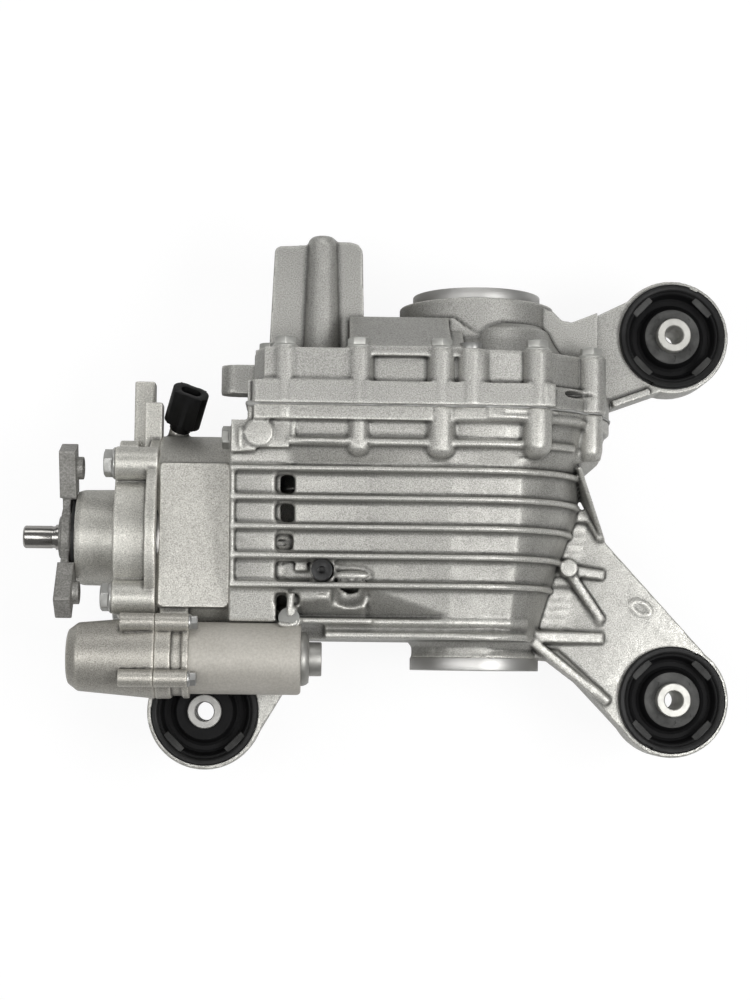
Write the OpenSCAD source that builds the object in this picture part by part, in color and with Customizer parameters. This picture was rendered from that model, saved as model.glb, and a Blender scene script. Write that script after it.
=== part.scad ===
// Rear differential with an electro-hydraulic multi-plate coupling on its input side.
// X runs from the input flange to the rear, Y along the output axis, Z up, in millimetres.
// The origin is the centre of the input flange's bolt circle, in the flange's mating face.

/* [Layout] */
// Distance from the input flange face to the output axis
axle_x = 274; // [270:1:284]
// Distance from the pinion axis to the joint of housing and cover
parting_y = 80; // [78:1:86]
// Distance from the pinion axis to the lower end of the housing's bell
lower_y = 66; // [65:1:70]
// Distance from the pinion axis to the roof of the cover
roof_y = 117; // [116:1:121]
// Distance from the pinion axis to the end of the cover's output boss
boss_y = 156.5; // [153:0.5:160]

/* [Input flange] */
// Bolt circle of the three flange arms
flange_pcd = 96; // [92:1:100]
// Bolt holes in the flange arms
flange_hole_d = 10.5; // [8:0.5:11]
// Thickness of a flange arm
flange_arm_t = 10.8; // [10:0.2:12]
// Width of a flange arm
flange_arm_w = 19; // [17:0.5:22]
// Length of a flange arm beyond its hole
flange_tip = 14; // [12:0.5:16]
// Turn of the first flange arm from the output axis, in degrees
flange_turn = 22; // [0:1:60]
// Centring pin diameter
pin_d = 15; // [12:0.5:16]
// Centring pin reach in front of the flange face
pin_reach = 25.4; // [20:0.2:28]
// Input shaft diameter at its bearing
input_shaft_d = 30; // [28:1:32]

/* [Coupling] */
// Distance from the flange face to the nose
nose_x = 10.8; // [10.4:0.1:11.4]
// Nose diameter
nose_d = 64; // [62:1:68]
// Nose length
nose_len = 27.2; // [26:0.2:30]
// Length of the front cover behind the nose
front_len = 28; // [26:1:32]
// Length of the coupling housing
coupling_len = 47; // [46:1:52]
// Outer diameter of the coupling housing
coupling_d = 136; // [134:1:140]
// Bore of the coupling housing
coupling_bore_d = 106; // [104:1:108]
// Bolt circle radius of the four long coupling bolts
long_bolt_r = 61.5; // [60:0.5:62]
// Outer diameter of the clutch drum
drum_d = 98; // [94:1:100]
// Clutch plate thickness
plate_t = 2; // [1.6:0.1:2.1]
// Gap between two released clutch plates
plate_gap = 0.3; // [0.2:0.05:0.4]
// Piston travel
piston_travel = 1.5; // [0.5:0.1:1.8]

/* [Housing] */
// Radius of the bell at the joint with the cover
bell_top_r = 88; // [86:1:92]
// Radius of the bell at its lower end
bell_end_r = 56; // [54:1:60]
// Casting wall
wall = 7; // [6:0.5:8]
// Cooling fin thickness
fin_t = 3.4; // [2.5:0.1:4.5]
// Cooling fin height
fin_h = 6; // [4:0.5:8]
// Distance between two cooling fins
fin_pitch = 18.1; // [17:0.1:19]
// Distance from the pinion axis to the first cooling fin
fin_y = 40; // [38:0.5:42]
// Thickness of the arms that carry the bushings
arm_t = 26; // [22:1:30]
// Radius of the eye around a bushing
eye_r = 38; // [37.5:0.5:41]
// Height of the raised edge of the arms
arm_rim_h = 4; // [2:0.5:6]

/* [Bushings] */
// Bushing nearest to the cover, from the flange face
cover_bush_x = 404.3; // [400:0.1:410]
// Bushing nearest to the cover, from the pinion axis
cover_bush_y = 138.5; // [135:0.1:142]
// Rear bushing on the housing, from the flange face
rear_bush_x = 403.8; // [400:0.1:410]
// Rear bushing on the housing, from the pinion axis
rear_bush_y = 103.2; // [100:0.1:108]
// Front bushing on the housing, from the flange face
front_bush_x = 97; // [94:0.1:100]
// Front bushing on the housing, from the pinion axis
front_bush_y = 113.8; // [111:0.1:118]
// Bolt bore of a bushing sleeve
bush_bore_d = 12.2; // [10:0.1:14]
// Outer diameter of a bushing sleeve
sleeve_d = 22.2; // [20:0.1:24]
// Length of the two rear bushing sleeves
sleeve_len = 46; // [44:1:50]
// Length of the front bushing sleeve
front_sleeve_len = 36; // [35:1:40]
// Flange diameter of the bushing shell
bush_d = 70.6; // [68:0.2:72]
// Diameter of the bushing shell in its eye
shell_d = 67; // [64:0.5:68]

/* [Final drive] */
// Ring gear teeth
ring_teeth = 33; // [29:2:35]
// Pinion teeth
pinion_teeth = 13; // [12:1:14]
// Ring gear pitch radius at the heel
ring_pitch_r = 62; // [60:0.5:63]
// Face width of the final drive teeth
drive_face = 20; // [16:1:21]
// Spiral angle of the final drive teeth
spiral = 25; // [0:1:30]
// Play taken from each tooth of the final drive
drive_play = 0.3; // [0.2:0.05:0.5]

/* [Differential] */
// Side gear teeth
side_teeth = 14; // [14:2:16]
// Spider gear teeth
spider_teeth = 10; // [10:2:10]
// Side gear pitch radius at the heel
side_pitch_r = 21; // [20:0.5:21]
// Face width of the differential gear teeth
diff_face = 9; // [7:0.5:9]
// Play taken from each tooth of the differential gears
diff_play = 0.25; // [0.15:0.05:0.4]
// Cross shaft diameter
cross_d = 16; // [14:0.5:17]
// Outer diameter of the differential case
case_d = 76; // [74:1:77]
// Pilot bore of a side gear for the drive shaft
side_bore_d = 22; // [20:0.5:23]

/* [Bearings] */
// Bore of the bearing at the head of the pinion
head_bore_d = 38; // [36:1:39]
// Outer diameter of the bearing at the head of the pinion
head_od = 73; // [71:1:74]
// Bore of the bearing at the tail of the pinion
tail_bore_d = 30; // [29:1:31]
// Outer diameter of the bearing at the tail of the pinion
tail_od = 62; // [60:1:63]
// Outer diameter of the two case bearings
case_od = 74; // [72:1:75]
// Bore of the two case bearings
case_bore_d = 44; // [43:1:45]
// Outer diameter of the input bearing
input_od = 55; // [54:1:56]

/* [Pump] */
// Pump and motor axis from the pinion axis, along the output axis
pump_y = 79.3; // [79:0.1:82]
// Pump and motor axis above the pinion axis
pump_z = 52; // [52:0.5:56]
// Outer diameter of the pump housing
pump_d = 52.4; // [50:0.2:53]
// Outer diameter of the motor can
motor_d = 45.8; // [44:0.2:46.4]
// Length of the motor can
motor_len = 70.5; // [60:0.5:76]

/* [Cover tower] */
// Width of the tower on the cover
tower_w = 62.4; // [58:0.2:64]
// Height of the tower above the roof of the cover
tower_h = 75; // [60:1:82]
// Depth of the tower
tower_t = 76; // [60:1:90]

/* [Hidden] */

$fn = 72;
over = 1;
fit = 0.03;
bolt_fit = 0.25;

// Stations along the input axis
front_x = nose_x + nose_len;
joint_x = front_x + front_len;
housing_x = joint_x + coupling_len;
seal_w = 6;
tail_w = 18;
head_w = 22;
tail_x = housing_x + seal_w + 1;
head_x = axle_x - ring_pitch_r - 6 - head_w;
input_bearing_x = nose_x + 10;
input_bearing_w = 13;
drum_x = front_x + 7;
pack_x = drum_x + 10;

// Stations along the output axis
gasket_t = 0.6;
carrier_len = 8.2;
case_bearing_w = 18;
lower_bearing_y = -lower_y + 4;
upper_bearing_y = parting_y + 12;
cover_face_y = parting_y + gasket_t;
rest_z = bell_top_r + 5;

function bell_r(y) = bell_end_r + (bell_top_r - bell_end_r) * (y + lower_y) / (parting_y + lower_y);
function polar(r, a) = [r * cos(a), r * sin(a)];

steel = [0.62, 0.62, 0.63];
cast = [0.72, 0.72, 0.70];
zinc = [0.78, 0.79, 0.80];
black = [0.08, 0.08, 0.08];

// Rods and blocks named by their direction
module x_rod(r, x0, x1, y = 0, z = 0, r2 = undef) {
  translate([x0, y, z]) rotate([0, 90, 0]) cylinder(r1 = r, r2 = is_undef(r2) ? r : r2, h = x1 - x0);
}
module y_rod(r, y0, y1, x = 0, z = 0, r2 = undef) {
  translate([x, y0, z]) rotate([-90, 0, 0]) cylinder(r1 = r, r2 = is_undef(r2) ? r : r2, h = y1 - y0);
}
module z_rod(r, z0, z1, x = 0, y = 0, r2 = undef) {
  translate([x, y, z0]) cylinder(r1 = r, r2 = is_undef(r2) ? r : r2, h = z1 - z0);
}
module x_tube(r, bore_r, x0, x1, y = 0, z = 0) {
  difference() {
    x_rod(r, x0, x1, y, z);
    x_rod(bore_r, x0 - over, x1 + over, y, z);
  }
}
module y_tube(r, bore_r, y0, y1, x = 0, z = 0) {
  difference() {
    y_rod(r, y0, y1, x, z);
    y_rod(bore_r, y0 - over, y1 + over, x, z);
  }
}
module block(x0, x1, y0, y1, z0, z1) {
  translate([x0, y0, z0]) cube([x1 - x0, y1 - y0, z1 - z0]);
}
// A flat outline in X and Z, drawn out along Y
module xz_plate(y0, y1) {
  translate([0, y1, 0]) rotate([90, 0, 0]) linear_extrude(y1 - y0) children();
}
// A flat outline in Y and Z, drawn out along X
module yz_bar(x0, x1) {
  translate([x0, 0, 0]) rotate([90, 0, 90]) linear_extrude(x1 - x0) children();
}
module xy_plate(z0, z1) {
  translate([0, 0, z0]) linear_extrude(z1 - z0) children();
}

// Hexagon flange bolt whose head stands on +Z of the local frame, with its seat at z = 0
module hex_bolt(shank_d, af, shank_len) {
  cylinder(r = af * 0.62, h = af * 0.16);
  cylinder(r = af / 2 / cos(30), h = af * 0.64, $fn = 6);
  translate([0, 0, -shank_len]) cylinder(d = shank_d, h = shank_len + 0.5);
}

// Bevel gears. Each gear has its apex at the origin and its back on +Z.
// A tooth is the involute of the virtual spur gear on the back cone, scaled towards the apex.
function inv_deg(a) = tan(a) * 180 / PI - a;
function flank_half(rho, base, half0) = half0 - inv_deg(acos(min(1, base / max(rho, base))));

// Half angle of a tooth on the virtual gear at radius rho
function tooth_half(rho, rv, pa, play, module_mm) =
  flank_half(rho, rv * cos(pa), (PI * module_mm / 2 - play) / 2 / rv * 180 / PI + inv_deg(pa));

// One wavy loop of the gear at the cone distance share k, turned by turn degrees
function gear_loop(n, cone, outer, addendum, dedendum, pa, play, steps, k, turn) =
  let (
    rv = outer * tan(cone),
    mod_mm = 2 * outer * sin(cone) / n,
    r0 = rv - dedendum,
    r1 = rv + addendum,
    rho = [for (j = [0:steps - 1]) r0 + (r1 - r0) * j / (steps - 1)],
    half = [for (r = rho) tooth_half(r, rv, pa, play, mod_mm) / cos(cone)]
  )
  [for (i = [0:n - 1]) for (j = [0:2 * steps - 1])
    let (
      s = j < steps ? j : 2 * steps - 1 - j,
      side = j < steps ? -1 : 1,
      a = i * 360 / n + side * half[s] + turn,
      r = rho[s] * cos(cone) * k,
      h = (outer / cos(cone) - rho[s] * sin(cone)) * k
    )
    [r * cos(a), r * sin(a), h]];

// A plain circle that carries on from a wavy loop
function plain_loop(n, steps, r, h) =
  [for (i = [0:n - 1]) for (j = [0:2 * steps - 1])
    let (a = (i + (j - steps + 0.5) / (2 * steps)) * 360 / n) [r * cos(a), r * sin(a), h]];

module bevel_gear(n, cone, outer, face, addendum, dedendum, pa, play, steps, slices, twist, back, flip = false) {
  m = n * 2 * steps;
  shares = [for (q = [0:slices]) 1 - face / outer * (1 - q / slices)];
  loops = concat(
    [for (k = shares) gear_loop(n, cone, outer, addendum, dedendum, pa, play, steps, k, twist * ln(1 / k))],
    [for (b = back) plain_loop(n, steps, b[0], b[1])]);
  rows = len(loops);
  points = [for (l = loops) each l];
  faces = [for (q = [0:rows - 1]) for (i = [0:m - 1])
    let (a = q * m + i, b = q * m + (i + 1) % m, c = ((q + 1) % rows) * m + i, d = ((q + 1) % rows) * m + (i + 1) % m)
    each (flip ? [[a, b, c], [b, d, c]] : [[a, c, b], [b, c, d]])];
  polyhedron(points, faces, convexity = 6);
}

// Tapered roller bearing about Z: the rollers' large ends look along +Z and all cones share one apex
roller_tilt = 13;
function taper_mid(bore_d, od) = (bore_d + od) / 4 + 0.6;
function taper_roller_r(bore_d, od) = (od - bore_d) / 2 * 0.2;
function taper_half(bore_d, od) = atan(taper_roller_r(bore_d, od) * sin(roller_tilt) / taper_mid(bore_d, od));
module taper_cup(bore_d, od, w) {
  apex = taper_mid(bore_d, od) / tan(roller_tilt);
  slope = tan(roller_tilt + taper_half(bore_d, od));
  lo = (apex - w / 2) * slope + fit;
  hi = (apex + w / 2) * slope + fit;
  rotate_extrude() polygon([[lo, -w / 2], [od / 2, -w / 2], [od / 2, w / 2], [hi, w / 2]]);
}
module taper_cone(bore_d, od, w) {
  apex = taper_mid(bore_d, od) / tan(roller_tilt);
  slope = tan(roller_tilt - taper_half(bore_d, od));
  lo = (apex - w / 2) * slope - fit;
  hi = (apex + w / 2) * slope - fit;
  rotate_extrude() polygon([[bore_d / 2, -w / 2], [lo, -w / 2], [hi, w / 2], [bore_d / 2, w / 2]]);
}
module taper_rollers(bore_d, od, w, count) {
  apex = taper_mid(bore_d, od) / tan(roller_tilt);
  centre = taper_mid(bore_d, od) / sin(roller_tilt);
  half_len = w * 0.33;
  spread = tan(taper_half(bore_d, od));
  for (i = [0:count - 1])
    rotate([0, 0, i * 360 / count]) translate([0, 0, -apex]) rotate([0, roller_tilt, 0])
      translate([0, 0, centre - half_len])
        cylinder(r1 = (centre - half_len) * spread, r2 = (centre + half_len) * spread, h = 2 * half_len);
}
// Places a bearing's local frame on the input axis or the output axis, with +Z looking outwards or inwards
module on_x(x, look = 1) {
  translate([x, 0, 0]) rotate([0, 90 * look, 0]) children();
}
module on_y(y, look = 1) {
  translate([axle_x, y, 0]) rotate([-90 * look, 0, 0]) children();
}

// Places shared by the castings and their fasteners
joint_left_x = housing_x + 11;
ring_room_r = ring_pitch_r + 9;
bolt_row_x = [joint_left_x + 23, joint_left_x + 70, joint_left_x + 122, axle_x + 33];
bolt_row_z = ring_room_r + 9;
end_bolt_at = [axle_x + (ring_room_r + 17) * cos(36.2), (ring_room_r + 17) * sin(36.2)];
front_bolt_at = [joint_left_x + 12.5, bolt_row_z - 29];
cover_bolt_at = concat(
  [for (x = bolt_row_x) for (s = [-1, 1]) [x, s * bolt_row_z]],
  [for (p = [end_bolt_at, front_bolt_at]) for (s = [-1, 1]) [p[0], s * p[1]]]);
cover_bolt_d = 8;
cover_bolt_af = 13;
long_bolt_d = 10;
long_bolt_af = 16;
long_bolt_at = [for (i = [0:3]) polar(long_bolt_r, 42 + 90 * i)];
pump_bolt_d = 6;
pump_bolt_r = motor_d / 2 + 6.4;
pump_bolt_at = [for (a = [41, 117, 240]) [-pump_y + pump_bolt_r * cos(a), pump_z + pump_bolt_r * sin(a)]];
bush_at = [[cover_bush_x, cover_bush_y], [rear_bush_x, -rear_bush_y], [front_bush_x, -front_bush_y]];

// Outline of the joint between housing and cover
module joint_outline(grow = 0) {
  translate([joint_left_x - grow, -bell_top_r + 2 - grow])
    square([axle_x - joint_left_x + grow, 2 * (bell_top_r - 2 + grow)]);
  translate([axle_x, 0]) circle(r = bell_top_r + 1 + grow);
}
// The hollow that housing and cover share
hollow_x = joint_left_x + 18;
module hollow_outline() {
  translate([hollow_x, -ring_room_r]) square([axle_x - hollow_x, 2 * ring_room_r]);
  translate([axle_x, 0]) circle(r = ring_room_r);
}

// Pinion carrier inside the housing, with its webs
carrier_r = head_od / 2 + wall;
module carrier_core() {
  x_rod(carrier_r, housing_x, head_x + head_w);
  block(hollow_x - over, head_x + head_w, -3, 3, -bell_top_r + wall, bell_top_r - wall);
  block(hollow_x - over, head_x + head_w, -lower_y + 3, parting_y, -3, 3);
}

// Cooling fins run over the front and the back, and on the back they end at one level
fin_count = 5;
module fin_outline(r) {
  reach = (r + fin_h) * 0.72;
  intersection() {
    union() {
      translate([housing_x, -r - fin_h]) square([axle_x - housing_x, 2 * (r + fin_h)]);
      translate([axle_x, 0]) circle(r = r + fin_h);
    }
    translate([housing_x, -rest_z]) square([axle_x - housing_x + reach, 2 * rest_z]);
  }
  translate([housing_x, -rest_z]) square([axle_x - housing_x + reach * 0.6, rest_z - r * 0.4]);
}
module fins() {
  for (i = [0:fin_count - 1])
    let (y = fin_y - i * fin_pitch)
      xz_plate(y - fin_t / 2, y + fin_t / 2) fin_outline(bell_r(y));
}
// A rib that follows the wall of the bell from x0 to x1, r from the output axis
module wall_rib(x0, x1, y, t, r) {
  xz_plate(y - t / 2, y + t / 2) intersection() {
    union() {
      translate([housing_x, -r]) square([axle_x - housing_x, 2 * r]);
      translate([axle_x, 0]) circle(r = r);
    }
    translate([x0, -rest_z]) square([x1 - x0, 2 * rest_z]);
  }
}
// One long rib between flange and fins, and three short ones on the flange
module short_ribs() {
  wall_rib(joint_left_x + 25, axle_x + 60, 57, 4, bell_r(57) + 3.4);
  wall_rib(joint_left_x + 98, joint_left_x + 116, parting_y - 4.4, 2.6, bell_top_r + 0.4);
  wall_rib(axle_x + 1.4, axle_x + 42, parting_y - 1.8, 2.6, bell_top_r + 2.6);
  wall_rib(axle_x + 1.6, axle_x + 63, parting_y - 6, 3, bell_top_r + 2.8);
}

// A bushing arm in the plane of the bushings: a plate from the casting to its eye
arm_z0 = -arm_t / 2 - 1;
arm_z1 = arm_t / 2 - 1;
eye_in = eye_r - 0.5;
module rear_arm_outline() {
  polygon([[axle_x + 20, 40], [axle_x + 64, 41], [axle_x + 85, 1.6],
    [rear_bush_x + eye_in * cos(38), -rear_bush_y + eye_in * sin(38)],
    [rear_bush_x, -rear_bush_y], [rear_bush_x + eye_in * cos(220), -rear_bush_y + eye_in * sin(220)],
    [axle_x + 42, -lower_y + 1], [axle_x + 20, -lower_y + 1]]);
}
module front_arm_outline() {
  polygon([[housing_x + 1, -30], [housing_x + 1, -coupling_d / 2 - 2],
    [front_bush_x + eye_in * cos(100), -front_bush_y + eye_in * sin(100)],
    [front_bush_x, -front_bush_y], [front_bush_x + eye_in * cos(-30), -front_bush_y + eye_in * sin(-30)],
    [housing_x + 37, -lower_y - 32], [housing_x + 46, -lower_y + 10], [housing_x + 46, -30]]);
}
module cover_arm_outline() {
  polygon([[axle_x + 20, cover_face_y + 8], [axle_x + 91, cover_face_y + 9.4],
    [cover_bush_x - 7, cover_bush_y - eye_in * 0.98], [cover_bush_x, cover_bush_y],
    [cover_bush_x + eye_in * cos(139), cover_bush_y + eye_in * sin(139)], [axle_x + 79, boss_y - 4.6],
    [axle_x + 54, boss_y - 12], [axle_x + 20, boss_y - 12]]);
}
module eye_body(x, y) {
  z_rod(eye_r, arm_z0 - 4, arm_z1, x, y);
}
module eye_bore(x, y) {
  z_rod(shell_d / 2 + fit, arm_z0 - 4 - over, arm_z1 + arm_rim_h + over, x, y);
}
// Raised rim along one edge of an arm
module edge_rib(a, b, w, z1) {
  d = b - a;
  translate([a[0], a[1], 0]) rotate([0, 0, atan2(d[1], d[0])])
    translate([0, -w / 2, 0]) cube([norm(d), w, z1]);
}

// Bosses under the cover bolts on the housing: how far each comes down
boss_drop = [9.5, 31.4, 32.6, 31];
boss_r = 9.5;
slim_boss_r = 7.5;
module housing_bosses() {
  for (i = [0:3]) for (s = [-1, 1])
    y_rod(i == 1 ? slim_boss_r : boss_r, parting_y - boss_drop[i], parting_y, bolt_row_x[i], s * (bolt_row_z - 0.5));
  for (s = [-1, 1]) y_rod(slim_boss_r, parting_y - 30, parting_y, end_bolt_at[0], s * end_bolt_at[1]);
}

panel_x1 = housing_x + 30;
slot_y = [[24.8, 36.6], [7, 18.6]];
lip_x = housing_x + 50;
level_plug_at = [172, -23.2];
drain_plug_at = [151.6, -53.5];
drain_plug_z = bell_r(drain_plug_at[1]) + 7.3;
drain_plug_len = 8;
motor_gap = 1;
thread_len = 14;
land_z = bell_r(-39) + 1.3;
side_bolt_at = [60.5, 66];

module housing_outside() {
  y_rod(bell_end_r, -lower_y, parting_y, axle_x, 0, bell_top_r);
  yz_bar(housing_x, axle_x) polygon([[60, -bell_r(60)], [60, bell_r(60)], [-lower_y, bell_end_r],
    [-lower_y, -bell_end_r]]);
  yz_bar(joint_left_x, axle_x) polygon([[parting_y, -bell_top_r + 2], [parting_y, bell_top_r - 2],
    [0, bell_r(0)], [0, -bell_r(0)]]);
  xz_plate(parting_y - 9, parting_y) joint_outline();
  yz_bar(housing_x + 0.5, panel_x1) polygon([[40, bell_r(40) + 2.5], [40, 0], [-30, 0], [-30, bell_r(-30) + 2.5]]);
  fins();
  short_ribs();
  housing_bosses();
  // Lips at the lower end of the bell
  for (lip = [[-lower_y, -lower_y + 4, 5], [-57, -53.5, 4]])
    xz_plate(lip[0], lip[1]) intersection() {
      union() {
        translate([lip_x, -bell_end_r - lip[2]]) square([axle_x - lip_x, 2 * (bell_end_r + lip[2])]);
        translate([axle_x, 0]) circle(r = bell_end_r + lip[2]);
      }
      translate([lip_x, -bell_top_r]) square([axle_x + 43 - lip_x, 2 * bell_top_r]);
    }
  // Neck for the lower output
  y_rod(41.6, -lower_y - 11, -lower_y + over, axle_x);
  // Boss for the side bolt and the round ejector pad
  x_rod(10, housing_x, housing_x + 14, side_bolt_at[0], side_bolt_at[1]);
  block(housing_x, housing_x + 14, 50, 66, 50, side_bolt_at[1] + 10);
  z_rod(7, 40, 85, housing_x + 20, 62.8);
  z_rod(9, 30, 70, level_plug_at[0], level_plug_at[1]);
  z_rod(8, 30, drain_plug_z, drain_plug_at[0], drain_plug_at[1]);
  // Raised land under the last fin
  xy_plate(20, land_z) polygon([[158.5, -56.5], [158.5, -42], [168.5, -41.3], [169.6, -38.7], [176, -38.6],
    [177.4, -44], [181.4, -49.3], [200, -49.1], [205, -53], [205, -56.5]]);
}

rim_z = arm_z1 + arm_rim_h;
lower_neck_bore = case_od / 2 - 6;
module main_housing() {
  color(cast) difference() {
    union() {
      housing_outside();
      // Rear arm with its eye, raised edges, ribs and a small round boss
      xy_plate(arm_z0, arm_z1) rear_arm_outline();
      eye_body(rear_bush_x, -rear_bush_y);
      edge_rib([axle_x + 62, 39], [axle_x + 83, 2], 5, rim_z);
      edge_rib([axle_x + 44, -lower_y], [axle_x + 88, -rear_bush_y - 2], 5, rim_z);
      edge_rib([axle_x + 40, -lower_y + 4], [axle_x + 84, -lower_y + 2], 4, rim_z - 1);
      edge_rib([axle_x + 60, -19.5], [axle_x + 84, -21], 3.5, rim_z - 1.5);
      edge_rib([axle_x + 59, -17], [axle_x + 83, -54], 3.5, rim_z - 1.8);
      z_rod(4.7, 0, rim_z + 1, axle_x + 61, -19);
      // Front arm with its eye
      xy_plate(arm_z0, arm_z1) front_arm_outline();
      eye_body(front_bush_x, -front_bush_y);
      edge_rib([housing_x + 35, -lower_y - 30], [housing_x + 44, -lower_y + 8], 5, rim_z);
    }
    // The hollow for the gears, less the pinion carrier that stays in it
    difference() {
      union() {
        xz_plate(22, parting_y + over) hollow_outline();
        y_rod(bell_r(-lower_y + 8) - wall, -lower_y + 8, 22 + over, axle_x, 0, bell_r(22) - wall);
        yz_bar(hollow_x, axle_x) polygon([[22 + over, -ring_room_r + 2], [22 + over, ring_room_r - 2],
          [-32, bell_r(-32) - wall - 2], [-lower_y + 8, 24], [-lower_y + 8, -24], [-32, 9 - bell_r(-32)]]);
      }
      carrier_core();
    }
    // Pinion bearing seats
    x_rod(tail_od / 2 + fit, housing_x - over, tail_x + tail_w);
    x_rod(tail_od / 2 - 4, housing_x, head_x + over);
    x_rod(head_od / 2 + fit, head_x, head_x + head_w + over);
    // Lower case bearing seat, its shoulder and the seat of the seal carrier
    y_rod(case_od / 2 + fit, lower_bearing_y, lower_bearing_y + case_bearing_w + 2 * over, axle_x);
    y_rod(lower_neck_bore, -lower_y - 12, lower_bearing_y + over, axle_x);
    y_rod(34 + fit, -lower_y - 12, -lower_y - 2, axle_x);
    // Bolt holes
    for (p = cover_bolt_at)
      y_rod(cover_bolt_d / 2 + fit, parting_y - thread_len - over, parting_y + over, p[0], p[1]);
    for (p = long_bolt_at) x_rod(long_bolt_d / 2 + fit, housing_x - over, housing_x + 18, p[0], p[1]);
    x_rod(4 + fit, housing_x - over, housing_x + 24, side_bolt_at[0], side_bolt_at[1]);
    // Deep slots between the fins, and the pockets under the last fin
    for (s = slot_y) block(housing_x + 32.6, housing_x + 41.2, s[0], s[1], 52, rest_z + over);
    block(housing_x + 29.5, housing_x + 45, -45.4, -37.5, bell_r(-43) - 6, rest_z);
    block(housing_x + 65.5, housing_x + 91, -48.6, -36.8, bell_r(-43) - 5, rest_z);
    // Threads of the two plugs
    z_rod(4.5 + fit, 45, 71, level_plug_at[0], level_plug_at[1]);
    z_rod(3 + fit, drain_plug_z - drain_plug_len - over, drain_plug_z + over, drain_plug_at[0], drain_plug_at[1]);
    // Room for the motor beside the housing
    x_rod(motor_d / 2 + motor_gap, housing_x - over, motor_x1 + 15, -pump_y, pump_z);
    for (p = [bush_at[1], bush_at[2]]) eye_bore(p[0], p[1]);
  }
}

// Cover: a deep flanged shell with the upper output boss, the tower and its own bushing arm
tower_x = joint_left_x + 11.7;
tower_z = 40;
tower_top = roof_y + tower_h - 0.6;
cover_wall = 6;
filler_plug_at = [axle_x - 9, bolt_row_z + 0.5];
module cover_outside() {
  xz_plate(cover_face_y, parting_y + 15) joint_outline();
  xz_plate(parting_y + 14, roof_y) intersection() {
    joint_outline(-4);
    polygon([[joint_left_x, -bolt_row_z + 22], [joint_left_x + 14, -bell_top_r], [axle_x + 76, -bell_top_r],
      [axle_x + 76, bell_top_r], [joint_left_x + 14, bell_top_r], [joint_left_x, bolt_row_z - 22]]);
  }
  for (p = cover_bolt_at) y_rod(boss_r, cover_face_y, roof_y, p[0], p[1]);
  y_rod(boss_r, cover_face_y, roof_y, filler_plug_at[0], filler_plug_at[1]);
  // Output boss on a wider foot
  y_rod(51.5, roof_y - over, boss_y, axle_x);
  y_rod(66, roof_y - over, roof_y + 13, axle_x, 0, 52);
  xy_plate(-44, 52) polygon([[tower_x + tower_w - over, roof_y - over], [tower_x + tower_w - over, roof_y + 25.5],
    [axle_x - 18, roof_y + 25.5], [axle_x - 8, roof_y + 17.5], [axle_x, roof_y + 14], [axle_x, roof_y - over]]);
  block(tower_x + tower_w - over, axle_x - 24, roof_y - over, roof_y + 10, -58, 64);
  // Tower in two steps with rounded shoulders, and a round rib on its face
  xy_plate(tower_z - tower_t, tower_z) polygon([[tower_x, roof_y - over], [tower_x + 3, tower_top - 4.5],
    [tower_x + 4, tower_top - 2.2], [tower_x + 6.6, tower_top - 0.9], [tower_x + tower_w * 0.45, tower_top],
    [tower_x + tower_w * 0.45, tower_top + 2.6], [tower_x + tower_w - 10, tower_top + 2.4],
    [tower_x + tower_w - 5, tower_top + 1], [tower_x + tower_w - 2.2, tower_top - 2.6],
    [tower_x + tower_w - 1.6, tower_top - 6], [tower_x + tower_w, roof_y - over]]);
  translate([tower_x + tower_w * 0.55, roof_y - over, tower_z - 3]) rotate([-90, 0, 0]) rotate_extrude()
    polygon([[0, 0], [12.3, 0], [9.9, tower_h + 1], [8.8, tower_h + 4], [6.4, tower_h + 6], [0, tower_h + 6]]);
  // Ear at the front
  block(housing_x + 1.5, joint_left_x + 10, parting_y + 14, parting_y + 33, 10, 30);
  y_rod(10, parting_y + 14, parting_y + 33, housing_x + 1.5, 20);
}
module side_cover() {
  color(cast) difference() {
    union() {
      cover_outside();
      xy_plate(arm_z0, arm_z1) cover_arm_outline();
      eye_body(cover_bush_x, cover_bush_y);
      // Gusset beside the output boss
      xy_plate(-30, 30) polygon([[axle_x + 40, cover_face_y + 5], [axle_x + 78, cover_face_y + 5],
        [axle_x + 78, boss_y - 5.1], [axle_x + 61, boss_y - 11.9], [axle_x + 54, boss_y - 10.5],
        [axle_x + 49, boss_y - 5], [axle_x + 40, boss_y - 2]]);
      edge_rib([axle_x + 90.3, cover_face_y + 11.8], [cover_bush_x - 15, cover_bush_y - 37], 4.5, rim_z);
    }
    difference() {
      xz_plate(cover_face_y - over, roof_y - cover_wall) hollow_outline();
      y_rod(case_od / 2 + wall, cover_face_y - 2 * over, roof_y, axle_x);
    }
    // Nothing of the bearing tube reaches below the bearing
    y_rod(case_od / 2 + wall + over, cover_face_y - over, upper_bearing_y - over, axle_x);
    block(tower_x + cover_wall, tower_x + tower_w - cover_wall, roof_y - cover_wall - over,
      roof_y + tower_h - cover_wall, tower_z - tower_t + cover_wall, tower_z - cover_wall);
    // Upper case bearing seat, its shoulder and the seat of the seal carrier
    y_rod(case_od / 2 + fit, upper_bearing_y - 2 * over, upper_bearing_y + case_bearing_w, axle_x);
    y_rod(case_od / 2 - 6, upper_bearing_y, boss_y + over, axle_x);
    y_rod(34 + fit, boss_y - 9, boss_y + over, axle_x);
    for (p = cover_bolt_at) y_rod(cover_bolt_d / 2 + bolt_fit, cover_face_y - over, roof_y + over, p[0], p[1]);
    y_rod(5 + fit, roof_y - 16, roof_y + over, filler_plug_at[0], filler_plug_at[1]);
    eye_bore(cover_bush_x, cover_bush_y);
  }
}
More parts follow.
